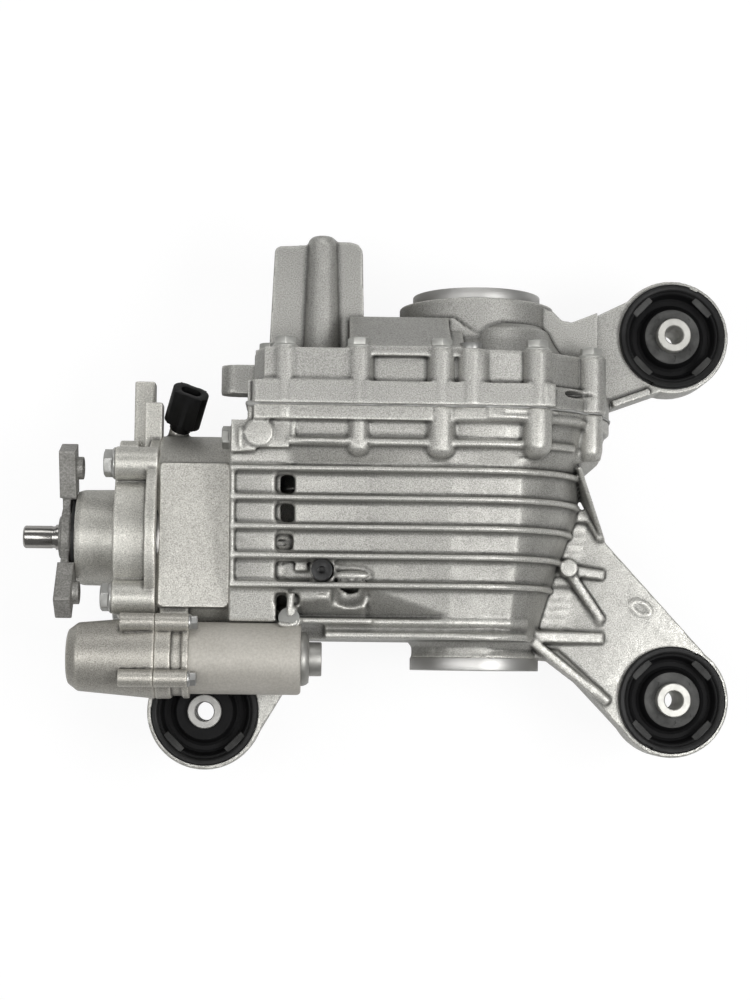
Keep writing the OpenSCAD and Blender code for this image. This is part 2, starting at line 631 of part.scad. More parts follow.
module cover_gasket() {
  color([0.45, 0.46, 0.45]) difference() {
    xz_plate(parting_y, cover_face_y) union() {
      joint_outline();
      for (p = cover_bolt_at) translate(p) circle(r = slim_boss_r);
    }
    xz_plate(parting_y - over, cover_face_y + over) hollow_outline();
    for (p = cover_bolt_at) y_rod(cover_bolt_d / 2 + bolt_fit, parting_y - over, cover_face_y + over, p[0], p[1]);
  }
}
module cover_bolts() {
  color(zinc) for (p = cover_bolt_at)
    translate([p[0], roof_y, p[1]]) rotate([-90, 0, 0])
      hex_bolt(cover_bolt_d, cover_bolt_af, roof_y - parting_y + thread_len);
}
module filler_plug() {
  color(zinc) translate([filler_plug_at[0], roof_y, filler_plug_at[1]]) rotate([-90, 0, 0]) {
    cylinder(r = 7.5, h = 4);
    translate([0, 0, -12]) cylinder(r = 5, h = 13);
  }
}
module level_plug() {
  color([0.2, 0.2, 0.2]) difference() {
    union() {
      z_rod(6.7, 70, 74, level_plug_at[0], level_plug_at[1]);
      z_rod(4.5, 52, 70 + over, level_plug_at[0], level_plug_at[1]);
    }
    translate([level_plug_at[0], level_plug_at[1], 69]) cylinder(r = 2.6, h = 6, $fn = 6);
  }
}
module drain_plug() {
  color(zinc) {
    z_rod(6.7, drain_plug_z, drain_plug_z + 4, drain_plug_at[0], drain_plug_at[1]);
    z_rod(3, drain_plug_z - drain_plug_len, drain_plug_z + over, drain_plug_at[0], drain_plug_at[1]);
  }
}
module side_bolt() {
  color(cast) translate([housing_x, side_bolt_at[0], side_bolt_at[1]]) rotate([0, -90, 0])
    hex_bolt(8, 13, 20);
}

// Coupling housing: a thick tube with a flat pad in front and a saddle for the pump
pad_z = 54;
piston_x = housing_x - 15;
piston_r = [26, 43];
connector_foot = [joint_x + 8.9, coupling_d / 2 - 2, 4];
module coupling_housing() {
  pump_dir = atan2(pump_z, -pump_y);
  color(cast) difference() {
    union() {
      intersection() {
        x_rod(coupling_d / 2, joint_x, housing_x);
        block(joint_x - over, housing_x + over, -coupling_d, coupling_d, -coupling_d, pad_z - 2.5);
      }
      block(joint_x + 1.5, housing_x, -47, 45.5, 20, pad_z);
      rotate([pump_dir, 0, 0]) block(joint_x + 3, joint_x + 21, 50, norm([pump_y, pump_z]) - 12, -16, 16);
      on_connector() cylinder(r = 6.6, h = 9);
    }
    x_rod(coupling_bore_d / 2, joint_x - over, housing_x - 8.5);
    x_rod(24, joint_x, housing_x + over);
    x_tube(piston_r[1] + fit, piston_r[0] - fit, housing_x - 9, housing_x - 4);
    for (p = long_bolt_at) x_rod(long_bolt_d / 2 + bolt_fit, joint_x - over, housing_x + over, p[0], p[1]);
    x_rod(pump_d / 2 + fit, joint_x - over, joint_x + 25, -pump_y, pump_z);
    for (p = pump_bolt_at) x_rod(6.2, joint_x - over, joint_x + 25, p[0], p[1]);
    x_rod(motor_d / 2 + 2 * motor_gap, motor_x0 - over, housing_x + over, -pump_y, pump_z);
    on_connector() translate([0, 0, -over]) cylinder(r = 4.6 + fit, h = 11);
  }
}

// Front cover: nose, disc and the bosses of the long bolts, with two upright lugs
module front_cover() {
  color(cast) difference() {
    union() {
      x_rod(nose_d / 2 - 1.6, nose_x, nose_x + 4, 0, 0, nose_d / 2 - 0.4);
      x_rod(nose_d / 2 - 0.4, nose_x + 4, front_x + over, 0, 0, nose_d / 2);
      x_rod(coupling_bore_d / 2 + 1, front_x, joint_x);
      x_rod(coupling_d / 2 - 1.5, joint_x - 7, joint_x);
      for (p = long_bolt_at) x_rod(11, front_x, joint_x, p[0], p[1]);
      block(front_x + 7, front_x + 20.5, 40, 107, -28, -12);
      block(front_x + 16.5, joint_x, 40, 89, 2, 18);
      x_rod(8, front_x, front_x + 13, 56, 10);
    }
    x_rod(drum_d / 2 + 3, drum_x - 3, joint_x + over);
    x_rod(input_shaft_d / 2 + 2, nose_x - over, drum_x);
    x_rod(29 + fit, nose_x - over, nose_x + 9);
    x_rod(input_od / 2 + fit, nose_x, input_bearing_x + input_bearing_w);
    for (p = long_bolt_at) x_rod(long_bolt_d / 2 + bolt_fit, front_x - over, joint_x + over, p[0], p[1]);
  }
}
module long_bolts() {
  color(zinc) for (p = long_bolt_at)
    translate([front_x, p[0], p[1]]) rotate([0, -90, 0])
      hex_bolt(long_bolt_d, long_bolt_af, housing_x - front_x + 16);
}

// Two-pin connector on a stiff moulded neck
connector_turn = [-52, 0, -19.3];
connector_len = 39;
module on_connector() {
  translate(connector_foot) rotate(connector_turn) children();
}
module connector() {
  color(black) on_connector() difference() {
    union() {
      cylinder(r = 4.6, h = 16);
      translate([0, 0, 9.1]) cylinder(r = 7.2, h = 5.9);
      translate([-9, -7, 14]) cube([18, 14, connector_len - 14]);
      for (s = [-1, 1]) translate([s * 4.5, 0, 14]) cylinder(r = 7.6, h = connector_len - 14);
      translate([-5, 6.5, connector_len - 12]) cube([10, 4, 10]);
    }
    for (s = [-1, 1]) translate([s * 3.2, 0, connector_len - 14]) cylinder(r = 3.6, h = 15);
    translate([-3.2, -3.6, connector_len - 14]) cube([6.4, 7.2, 15]);
  }
}
module connector_pins() {
  color([0.75, 0.65, 0.4]) on_connector() for (s = [-1, 1])
    translate([s * 3.2, 0, connector_len - 14]) cylinder(r = 0.9, h = 10);
}

// Pump and motor beside the coupling
pump_x0 = nose_x + 0.4;
pump_x1 = joint_x + 1.6;
pump_x2 = pump_x1 + 18.4;
motor_x0 = pump_x2 + 3;
motor_x1 = motor_x0 + motor_len;
module pump_bosses(x0, x1, r) {
  for (p = pump_bolt_at) x_rod(r, x0, x1, p[0], p[1]);
}
module pump_housing() {
  color(cast) difference() {
    union() {
      translate([pump_x0, -pump_y, pump_z]) rotate([0, 90, 0]) rotate_extrude()
        polygon([[0, 0], [pump_d / 2 - 11.5, 0], [pump_d / 2 - 9, 0.8], [pump_d / 2 - 4.4, 6.8],
          [pump_d / 2, pump_x1 - pump_x0], [0, pump_x1 - pump_x0]]);
      pump_bosses(pump_x1 - 22, pump_x1, 5.6);
    }
    x_rod(pump_d / 2 - 8, pump_x0 + 16, pump_x1 + over, -pump_y, pump_z);
    for (p = pump_bolt_at) x_rod(pump_bolt_d / 2 + fit, pump_x1 - 15, pump_x1 + over, p[0], p[1]);
  }
}
module pump_body() {
  color(cast) difference() {
    union() {
      x_rod(pump_d / 2, pump_x1, pump_x1 + 10, -pump_y, pump_z);
      x_rod(pump_d / 2 - 2, pump_x1 + 10 - over, pump_x2, -pump_y, pump_z);
      x_rod(pump_d / 2 - 0.4, pump_x2 - over, motor_x0, -pump_y, pump_z);
      pump_bosses(pump_x1, motor_x0, 5.6);
    }
    x_rod(4 + fit, pump_x1 - over, motor_x0 + over, -pump_y, pump_z);
    for (p = pump_bolt_at) x_rod(pump_bolt_d / 2 + bolt_fit, pump_x1 - over, motor_x0 + over, p[0], p[1]);
  }
}
module pump_bolts() {
  color(zinc) for (p = pump_bolt_at)
    translate([motor_x0, p[0], p[1]]) rotate([0, 90, 0]) hex_bolt(pump_bolt_d, 8, motor_x0 - pump_x1 + 12);
}
can_wall = 2;
module motor_can() {
  color([0.70, 0.69, 0.66]) difference() {
    x_rod(motor_d / 2, motor_x0, motor_x1, -pump_y, pump_z);
    x_rod(motor_d / 2 - can_wall, motor_x0 - over, motor_x1 - can_wall, -pump_y, pump_z);
    x_rod(12, motor_x1 - 2 * can_wall, motor_x1 + over, -pump_y, pump_z);
  }
}
cap_x = motor_x1 + 5.2;
module motor_end_cap() {
  color(zinc) difference() {
    union() {
      x_rod(17.2, motor_x1, cap_x, -pump_y, pump_z, 15.5);
      x_rod(10.9, cap_x - over, cap_x + 7.9, -pump_y, pump_z);
      x_rod(11.9, motor_x1 - can_wall, motor_x1 + over, -pump_y, pump_z);
    }
    x_rod(4 + fit, motor_x1 - 3, cap_x + 3, -pump_y, pump_z);
  }
}
// Armature with its shaft, and the pump's rotor on the far end of the same shaft
module motor_armature() {
  color(steel) {
    x_rod(4, pump_x1 - 12, cap_x + 2, -pump_y, pump_z);
    x_rod(13, motor_x0 + 10, motor_x1 - 14, -pump_y, pump_z);
    x_rod(16, pump_x1 - 14, pump_x1 - 2, -pump_y, pump_z);
  }
}
module motor_magnets() {
  color([0.3, 0.3, 0.32]) difference() {
    x_tube(motor_d / 2 - can_wall - fit, 14, motor_x0 + 8, motor_x1 - 12, -pump_y, pump_z);
    block(motor_x0, motor_x1, -pump_y - 3, -pump_y + 3, pump_z - 30, pump_z + 30);
  }
}

// Input side: flange, shaft, bearing, seal
hub_back_x = 7;
module input_flange() {
  arm_r = flange_pcd / 2 + flange_tip;
  color([0.36, 0.36, 0.35]) difference() {
    union() {
      for (i = [0:2]) rotate([flange_turn + 120 * i, 0, 0]) {
        block(0, flange_arm_t, 30, arm_r, -flange_arm_w / 2, flange_arm_w / 2);
        block(1.7, flange_arm_t, 8, 31, -flange_arm_w / 2 + 1, flange_arm_w / 2 - 1);
        x_rod(7.5, flange_arm_t - over, flange_arm_t + 4.5, flange_pcd / 2, 0);
      }
      x_rod(21, 0.8, hub_back_x);
      x_rod(14, -1.5, 2);
      x_rod(20, hub_back_x - over, nose_x + 9);
    }
    x_tube(30, 20, hub_back_x, flange_arm_t + 6);
    x_rod(7.6, -2 - over, 4);
    x_rod(12 + fit, 3, nose_x + 10);
    for (i = [0:2]) rotate([flange_turn + 120 * i, 0, 0])
      x_rod(flange_hole_d / 2, -over, flange_arm_t + 6, flange_pcd / 2, 0);
  }
}
module centring_bolt() {
  color(steel) {
    x_rod(pin_d / 2 - 1, -pin_reach, -pin_reach + 1.2, 0, 0, pin_d / 2);
    x_rod(pin_d / 2, -pin_reach + 1.2, -3.9);
    x_rod(8.4, -4, -1.5);
    x_rod(7, -2, 24);
  }
}
module input_shaft() {
  color(steel) difference() {
    union() {
      x_rod(12, 4, nose_x + 9.2);
      x_rod(input_shaft_d / 2, nose_x + 9.2, drum_x + 8);
    }
    x_rod(7 + fit, 3, 26);
  }
}
module input_seal() {
  color(black) {
    x_tube(29, 27, nose_x - 2.2, nose_x + 9);
    x_tube(27 + 0.5, 20 + 0.08, nose_x + 4.5, nose_x + 8);
  }
}
ball_r = 3.9;
ball_path_r = (input_shaft_d + input_od) / 4;
module ball_groove() {
  translate([input_bearing_x + input_bearing_w / 2, 0, 0]) rotate([0, 90, 0])
    rotate_extrude() translate([ball_path_r, 0]) circle(r = ball_r + 0.06);
}
module input_bearing_outer() {
  color(steel) difference() {
    x_tube(input_od / 2, ball_path_r + 2.2, input_bearing_x, input_bearing_x + input_bearing_w);
    ball_groove();
  }
}
module input_bearing_inner() {
  color(steel) difference() {
    x_tube(ball_path_r - 2.2, input_shaft_d / 2 + 0.01, input_bearing_x, input_bearing_x + input_bearing_w);
    ball_groove();
  }
}
module input_bearing_balls() {
  color(steel) for (i = [0:9]) rotate([36 * i, 0, 0])
    translate([input_bearing_x + input_bearing_w / 2, ball_path_r, 0]) sphere(r = ball_r);
}

// Multi-plate clutch
drum_in_r = drum_d / 2 - 4;
hub_r = 31;
plate_count = 8;
plate_step = 2 * (plate_t + plate_gap);
pack_end = pack_x + plate_count * plate_step + plate_t;
drum_end = piston_x - 1.5;
module clutch_drum() {
  color(steel) {
    x_tube(drum_d / 2, drum_in_r, drum_x + 4, drum_end);
    x_tube(drum_d / 2, input_shaft_d / 2 + 0.01, drum_x, drum_x + 5);
    x_tube(20, input_shaft_d / 2 + 0.01, drum_x, drum_x + 8);
  }
}
module outer_plates() {
  color([0.45, 0.45, 0.46]) for (i = [0:plate_count])
    x_tube(drum_in_r - 0.02, hub_r + 2, pack_x + i * plate_step, pack_x + i * plate_step + plate_t);
}
module inner_plates() {
  color([0.40, 0.33, 0.24]) for (i = [0:plate_count - 1])
    x_tube(drum_in_r - 2, hub_r + 0.02, pack_x + (i + 0.5) * plate_step, pack_x + (i + 0.5) * plate_step + plate_t);
}
pinion_shaft_r = tail_bore_d / 2 - 1;
module clutch_hub() {
  web_x = pack_x + 12;
  color(steel) {
    x_tube(hub_r, hub_r - 4, pack_x - 1, pack_end);
    x_tube(hub_r - 3, pinion_shaft_r - 2 + 0.01, web_x, web_x + 6);
    x_tube(21, pinion_shaft_r - 2 + 0.01, web_x, pack_end - 1);
  }
}
module clutch_piston() {
  color(steel) {
    x_tube(piston_r[1], piston_r[0], housing_x - 12, housing_x - 6);
  }
}

// Final drive: both gears share one apex where the pinion axis meets the output axis
drive_cone = atan(pinion_teeth / ring_teeth);
ring_cone = 90 - drive_cone;
drive_outer = ring_pitch_r / sin(ring_cone);
drive_module = 2 * ring_pitch_r / ring_teeth;
spiral_turn = tan(spiral) / sin(ring_cone) * 180 / PI;
ring_back = ring_pitch_r * pinion_teeth / ring_teeth + 20;
ring_seat_r = case_d / 2 + 3;
pinion_back = ring_pitch_r + 3;
module drive_pinion() {
  color(steel) difference() {
    union() {
      translate([axle_x, 0, 0]) rotate([0, -90, 0]) rotate([0, 0, 90])
        bevel_gear(pinion_teeth, drive_cone, drive_outer, drive_face, drive_module * 1.05, drive_module * 0.85, 20,
          drive_play, 4, 4, -spiral_turn * ring_teeth / pinion_teeth,
          [[head_bore_d / 2 + 4, pinion_back], [6, pinion_back], [6, ring_pitch_r * 0.72]]);
      x_rod(10, axle_x - pinion_back, axle_x - ring_pitch_r * 0.74);
      x_rod(head_bore_d / 2 + 3, head_x + head_w, axle_x - pinion_back + over);
      x_rod(head_bore_d / 2, head_x - 4, head_x + head_w + over);
      x_rod(tail_bore_d / 2, tail_x - seal_w - 2, head_x - 4 + over);
      x_rod(pinion_shaft_r - 2, pack_x + 10, tail_x - seal_w);
    }
  }
}
module pinion_nut() {
  nut_x = tail_x - seal_w - 8;
  color(zinc) difference() {
    translate([nut_x, 0, 0]) rotate([0, 90, 0]) cylinder(r = 20, h = 6, $fn = 6);
    x_rod(pinion_shaft_r - 2 + 0.01, nut_x - over, nut_x + 7);
  }
}
module pinion_seal() {
  color(black) x_tube(tail_od / 2, tail_bore_d / 2 + 0.08, housing_x + 0.5, housing_x + seal_w);
}
module pinion_spacer() {
  color(steel) x_tube(tail_bore_d / 2 + 4, tail_bore_d / 2 + 0.01, tail_x + tail_w + 0.05, head_x - 4);
}
module tail_bearing_cup() {
  color(steel) on_x(tail_x + tail_w / 2, -1) taper_cup(tail_bore_d, tail_od, tail_w);
}
module tail_bearing_cone() {
  color(steel) on_x(tail_x + tail_w / 2, -1) taper_cone(tail_bore_d + 0.02, tail_od, tail_w);
}
tail_rollers = 14;
module tail_bearing_rollers() {
  color(steel) on_x(tail_x + tail_w / 2, -1) taper_rollers(tail_bore_d, tail_od, tail_w, tail_rollers);
}
module head_bearing_cup() {
  color(steel) on_x(head_x + head_w / 2) taper_cup(head_bore_d, head_od, head_w);
}
module head_bearing_cone() {
  color(steel) on_x(head_x + head_w / 2) taper_cone(head_bore_d + 0.02, head_od, head_w);
}
head_rollers = 15;
module head_bearing_rollers() {
  color(steel) on_x(head_x + head_w / 2) taper_rollers(head_bore_d, head_od, head_w, head_rollers);
}

ring_bolt_r = ring_seat_r + 9;
ring_bolt_count = 10;
ring_bolt_d = 8;
case_flange_t = 8;
module ring_gear() {
  color(steel) difference() {
    translate([axle_x, 0, 0]) rotate([-90, 0, 0]) rotate([0, 0, 180 + 180 / ring_teeth])
      bevel_gear(ring_teeth, ring_cone, drive_outer, drive_face, drive_module * 0.6, drive_module * 1.3, 20,
        drive_play, 2, 4, spiral_turn,
        [[ring_pitch_r + 3, ring_back - 10], [ring_pitch_r + 3, ring_back], [ring_seat_r - 2, ring_back],
          [ring_seat_r - 2, ring_back - 18]]);
    y_rod(ring_seat_r + 0.01, 0, ring_back + over, axle_x);
    for (i = [0:ring_bolt_count - 1]) on_y(0) rotate([0, 0, i * 360 / ring_bolt_count])
      translate([ring_bolt_r, 0, ring_back - 15]) cylinder(d = ring_bolt_d + 0.06, h = 16);
  }
}
module ring_gear_bolts() {
  color(zinc) for (i = [0:ring_bolt_count - 1])
    on_y(ring_back + case_flange_t) rotate([0, 0, i * 360 / ring_bolt_count]) translate([ring_bolt_r, 0, 0])
      hex_bolt(ring_bolt_d, 12, case_flange_t + 14);
}
// One-piece case: ring gear flange, two bearing hubs, and windows in front and behind
case_hub_r = case_bore_d / 2 - 0.01;
side_hub_r = side_bore_d / 2 + 4.5;
room_side = side_pitch_r + 4.2;
room_spider = side_pitch_r + 6;
side_back = side_pitch_r * spider_teeth / side_teeth + 5;
module diff_case() {
  color([0.42, 0.42, 0.43]) difference() {
    union() {
      y_rod(case_d / 2, -side_back - 12, ring_back, axle_x);
      y_rod(ring_seat_r, ring_back - 14, ring_back, axle_x);
      y_rod(ring_pitch_r - 1, ring_back, ring_back + case_flange_t, axle_x);
      y_rod(case_hub_r + 4, ring_back, upper_bearing_y, axle_x);
      y_rod(case_hub_r, upper_bearing_y - over, upper_bearing_y + case_bearing_w + 2, axle_x);
      y_rod(case_hub_r + 4, lower_bearing_y + case_bearing_w, -side_back - 11, axle_x);
      y_rod(case_hub_r, lower_bearing_y - 1, lower_bearing_y + case_bearing_w + over, axle_x);
    }
    y_rod(room_side, -side_back - 0.1, side_back + 0.1, axle_x);
    x_rod(side_pitch_r * spider_teeth / side_teeth + 4.2, axle_x - room_spider - 0.1, axle_x + room_spider + 0.1);
    z_rod(side_pitch_r - 2, -case_d, case_d, axle_x, 0);
    y_rod(side_hub_r + 0.05, -lower_y, upper_bearing_y + 30, axle_x);
    x_rod(cross_d / 2 + 0.02, axle_x - case_d, axle_x + case_d);
    y_rod(ring_seat_r - 9, side_back + 8, ring_back - 8, axle_x, 0);
    for (i = [0:ring_bolt_count - 1]) on_y(0) rotate([0, 0, i * 360 / ring_bolt_count])
      translate([ring_bolt_r, 0, ring_back - over])
        cylinder(d = ring_bolt_d + 0.5, h = case_flange_t + 2 * over);
  }
}
module cross_shaft() {
  color(steel) x_rod(cross_d / 2, axle_x - case_d / 2 + 2, axle_x + case_d / 2 - 2);
}

// Differential gears on the apex of the output axis and the cross shaft
side_cone = atan(side_teeth / spider_teeth);
spider_cone = 90 - side_cone;
diff_outer = side_pitch_r / sin(side_cone);
diff_module = 2 * side_pitch_r / side_teeth;
diff_addendum = diff_module * 0.75;
diff_dedendum = diff_module * 0.95;
module spider_gear(look) {
  translate([axle_x, 0, 0]) rotate([0, 90 * look, 0]) difference() {
    union() {
      rotate([0, 0, 90])
        bevel_gear(spider_teeth, spider_cone, diff_outer, diff_face, diff_addendum, diff_dedendum, 25, diff_play,
          4, 1, 0, [[side_pitch_r * spider_teeth / side_teeth, room_spider], [6, room_spider],
            [6, side_pitch_r * 0.62]]);
    }
    translate([0, 0, -over]) cylinder(r = cross_d / 2 + 0.04, h = room_spider + 2 * over);
  }
}
module spider_gear_front() {
  color(steel) spider_gear(-1);
}
module spider_gear_rear() {
  color(steel) spider_gear(1);
}
module side_gear(look) {
  on_y(0, look) difference() {
    union() {
      rotate([0, 0, 180 / side_teeth])
        bevel_gear(side_teeth, side_cone, diff_outer, diff_face, diff_addendum, diff_dedendum, 25, diff_play, 3, 1, 0,
          [[side_pitch_r + 2, side_back], [9, side_back], [9, side_back * 0.62]]);
      translate([0, 0, side_back - over]) cylinder(r = side_hub_r, h = 14 + over);
    }
    translate([0, 0, -over]) cylinder(d = side_bore_d, h = side_back + 14 + 2 * over);
  }
}
module side_gear_upper() {
  color(steel) side_gear(1);
}
module side_gear_lower() {
  color(steel) side_gear(-1);
}

// Case bearings, both with their rollers' large ends towards the gears
case_rollers = 16;
module case_bearings() {
  on_y(lower_bearing_y + case_bearing_w / 2, 1) children();
  on_y(upper_bearing_y + case_bearing_w / 2, -1) children();
}
module case_bearing_cups() {
  color(steel) case_bearings() taper_cup(case_bore_d, case_od, case_bearing_w);
}
module case_bearing_cones() {
  color(steel) case_bearings() taper_cone(case_bore_d + 0.02, case_od, case_bearing_w);
}
module case_bearing_rollers() {
  color(steel) case_bearings() taper_rollers(case_bore_d, case_od, case_bearing_w, case_rollers);
}

// Turned rings that carry the output seals
seal_r = 27;
ring_r = 42.6;
module seal_carrier(face_y, look) {
  translate([axle_x, face_y, 0]) rotate([-90 * look, 0, 0]) rotate_extrude()
    polygon([[lower_neck_bore - 6, -8], [34, -8], [34, 0], [ring_r, 0], [ring_r, carrier_len],
      [ring_r - 5, carrier_len], [ring_r - 7, carrier_len - 3], [seal_r, carrier_len - 3],
      [seal_r, -4], [lower_neck_bore - 6, -4]]);
}
module seal_carriers() {
  color([0.80, 0.80, 0.79]) {
    seal_carrier(boss_y, 1);
    seal_carrier(-lower_y - 11, -1);
  }
}
module output_seal(face_y, look) {
  translate([axle_x, face_y, 0]) rotate([-90 * look, 0, 0]) rotate_extrude()
    polygon([[side_bore_d / 2 + 2.5, -1], [side_bore_d / 2 + 4, -3.9], [seal_r - 0.02, -3.9],
      [seal_r - 0.02, carrier_len - 4], [side_bore_d / 2 + 4, carrier_len - 4], [side_bore_d / 2 + 4, 0]]);
}
module output_seals() {
  color(black) {
    output_seal(boss_y, 1);
    output_seal(-lower_y - 11, -1);
  }
}

// Rubber bushings: a pressed shell, a rubber body with a ring groove in each face, and a sleeve
rubber_h = 15;
module bush_shells() {
  color([0.12, 0.12, 0.12]) for (p = bush_at) translate([p[0], p[1], 0]) rotate_extrude()
    polygon([[shell_d / 2 - 3, arm_z0 - 4], [shell_d / 2, arm_z0 - 4], [shell_d / 2, arm_z1 + 0.1],
      [bush_d / 2, arm_z1 + 0.1], [bush_d / 2, arm_z1 + 5], [shell_d / 2 - 3, arm_z1 + 5]]);
}
module bush_rubber() {
  rotate_extrude() polygon([[sleeve_d / 2 + 0.02, -rubber_h + 2], [19, -rubber_h + 2], [20, -6], [27, -6],
    [28.5, -rubber_h], [shell_d / 2 - 3.02, -rubber_h], [shell_d / 2 - 3.02, rubber_h],
    [28.5, rubber_h], [27, 6], [20, 6], [18.8, rubber_h - 1], [sleeve_d / 2 + 0.02, rubber_h - 1]]);
}
module bush_rubbers() {
  color(black) for (p = bush_at) translate([p[0], p[1], 0]) bush_rubber();
}
module bush_sleeve(p, len) {
  color([0.86, 0.86, 0.84]) translate([p[0], p[1], -len / 2]) difference() {
    cylinder(d = sleeve_d, h = len);
    translate([0, 0, -over]) cylinder(d = bush_bore_d, h = len + 2 * over);
  }
}
module cover_bush_sleeve() { bush_sleeve(bush_at[0], sleeve_len); }
module rear_bush_sleeve() { bush_sleeve(bush_at[1], sleeve_len); }
module front_bush_sleeve() { bush_sleeve(bush_at[2], front_sleeve_len); }

main_housing();
side_cover();
cover_gasket();
cover_bolts();
coupling_housing();
front_cover();
long_bolts();
input_seal();
side_bolt();
level_plug();
drain_plug();
filler_plug();
connector();
connector_pins();
pump_housing();
pump_body();
pump_bolts();
motor_can();
motor_end_cap();
motor_armature();
motor_magnets();
input_flange();
centring_bolt();
input_shaft();
input_bearing_outer();
input_bearing_inner();
input_bearing_balls();
clutch_drum();
outer_plates();
inner_plates();
clutch_hub();
clutch_piston();
drive_pinion();
pinion_nut();
pinion_seal();
pinion_spacer();
tail_bearing_cup();
tail_bearing_cone();
tail_bearing_rollers();
head_bearing_cup();
head_bearing_cone();
head_bearing_rollers();
ring_gear();
ring_gear_bolts();
diff_case();
cross_shaft();
spider_gear_front();
spider_gear_rear();
side_gear_upper();
side_gear_lower();
case_bearing_cups();
case_bearing_cones();
case_bearing_rollers();
seal_carriers();
output_seals();
bush_shells();
bush_rubbers();
cover_bush_sleeve();
rear_bush_sleeve();
front_bush_sleeve();
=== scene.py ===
import math
import random

import bpy
from mathutils import Matrix, Vector


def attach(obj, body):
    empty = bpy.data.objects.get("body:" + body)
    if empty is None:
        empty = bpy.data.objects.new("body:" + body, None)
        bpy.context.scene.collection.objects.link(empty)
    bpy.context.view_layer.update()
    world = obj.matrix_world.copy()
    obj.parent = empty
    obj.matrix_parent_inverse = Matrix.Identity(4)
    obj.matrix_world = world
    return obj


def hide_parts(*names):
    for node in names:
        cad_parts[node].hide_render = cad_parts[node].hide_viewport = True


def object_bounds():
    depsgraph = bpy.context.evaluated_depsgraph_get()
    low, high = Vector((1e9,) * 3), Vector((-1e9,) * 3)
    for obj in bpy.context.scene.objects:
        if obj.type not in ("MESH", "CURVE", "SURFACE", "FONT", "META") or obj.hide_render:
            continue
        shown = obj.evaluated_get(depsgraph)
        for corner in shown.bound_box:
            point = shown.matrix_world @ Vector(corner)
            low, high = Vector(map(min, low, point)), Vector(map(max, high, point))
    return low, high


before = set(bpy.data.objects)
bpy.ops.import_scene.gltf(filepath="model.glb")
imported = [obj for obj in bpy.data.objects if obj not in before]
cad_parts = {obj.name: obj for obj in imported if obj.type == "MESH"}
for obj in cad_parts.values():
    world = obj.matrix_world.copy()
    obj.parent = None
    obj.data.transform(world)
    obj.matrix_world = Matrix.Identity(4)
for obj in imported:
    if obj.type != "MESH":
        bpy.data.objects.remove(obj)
cad_low, cad_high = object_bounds()
scene = bpy.context.scene


# The camera looks down on the part a little from the front left and from below the picture's
# middle, as in the photograph. Its three directions were found from the tilt of the bushing bores.
camera_data = bpy.data.cameras.new("camera")
camera = bpy.data.objects.new("camera", camera_data)
scene.collection.objects.link(camera)
picture_right = Vector((0.99948078, 0.01101496, 0.03027936))
picture_up = Vector((-0.01355958, 0.99627496, 0.0851607))
picture_back = Vector((-0.02922852, -0.08552705, 0.99590703))
turn = Matrix((picture_right, picture_up, picture_back)).transposed().to_4x4()
camera.matrix_world = Matrix.Translation(Vector((0.166156, -0.092556, 1.4))) @ turn
camera_data.sensor_fit = "VERTICAL"
camera_data.sensor_height = 36
camera_data.lens = 75.78
camera_data.clip_end = 20
scene.camera = camera

# A plain white floor under the part. The camera sees it as the even white ground of the
# photograph, and it keeps a faint part of the shadow.
bpy.ops.object.select_all(action="DESELECT")
bpy.ops.mesh.primitive_plane_add(size=8, location=(0.2, 0, cad_low[2] - 0.0005))
floor = bpy.context.object
floor.name = "floor"
paper = bpy.data.materials.new("white_paper")
paper.use_nodes = True
nodes = paper.node_tree.nodes
links = paper.node_tree.links
nodes.clear()
output = nodes.new("ShaderNodeOutputMaterial")
mix = nodes.new("ShaderNodeMixShader")
plain = nodes.new("ShaderNodeBsdfDiffuse")
plain.inputs["Color"].default_value = (0.8, 0.8, 0.8, 1)
glow = nodes.new("ShaderNodeEmission")
glow.inputs["Strength"].default_value = 1.05
path = nodes.new("ShaderNodeLightPath")
share = nodes.new("ShaderNodeMath")
share.operation = "MULTIPLY"
share.inputs[1].default_value = 0.86
links.new(path.outputs["Is Camera Ray"], share.inputs[0])
links.new(share.outputs[0], mix.inputs[0])
links.new(plain.outputs[0], mix.inputs[1])
links.new(glow.outputs[0], mix.inputs[2])
links.new(mix.outputs[0], output.inputs["Surface"])
floor.data.materials.append(paper)

# Soft studio light: a dim room, a strong lamp on the right that brightens the bell's curved
# flank, one in front for the faces turned to the camera, and weaker ones from the left and above.
world = bpy.data.worlds.new("pale_room")
scene.world = world
world.use_nodes = True
nodes = world.node_tree.nodes
links = world.node_tree.links
nodes.clear()
output = nodes.new("ShaderNodeOutputWorld")
room = nodes.new("ShaderNodeBackground")
room.inputs["Color"].default_value = (1, 1, 1, 1)
room.inputs["Strength"].default_value = 0.2
seen = nodes.new("ShaderNodeBackground")
seen.inputs["Strength"].default_value = 1.0
path = nodes.new("ShaderNodeLightPath")
mix = nodes.new("ShaderNodeMixShader")
links.new(path.outputs["Is Camera Ray"], mix.inputs[0])
links.new(room.outputs[0], mix.inputs[1])
links.new(seen.outputs[0], mix.inputs[2])
links.new(mix.outputs[0], output.inputs["Surface"])


def hang_lamp(name, place, size, watts, target=(0.2, 0, 0)):
    lamp_data = bpy.data.lights.new(name, "AREA")
    lamp_data.shape = "RECTANGLE"
    lamp_data.size = size[0]
    lamp_data.size_y = size[1]
    lamp_data.energy = watts
    lamp = bpy.data.objects.new(name, lamp_data)
    scene.collection.objects.link(lamp)
    lamp.location = place
    lamp.rotation_euler = (Vector(target) - Vector(place)).to_track_quat("-Z", "Y").to_euler()


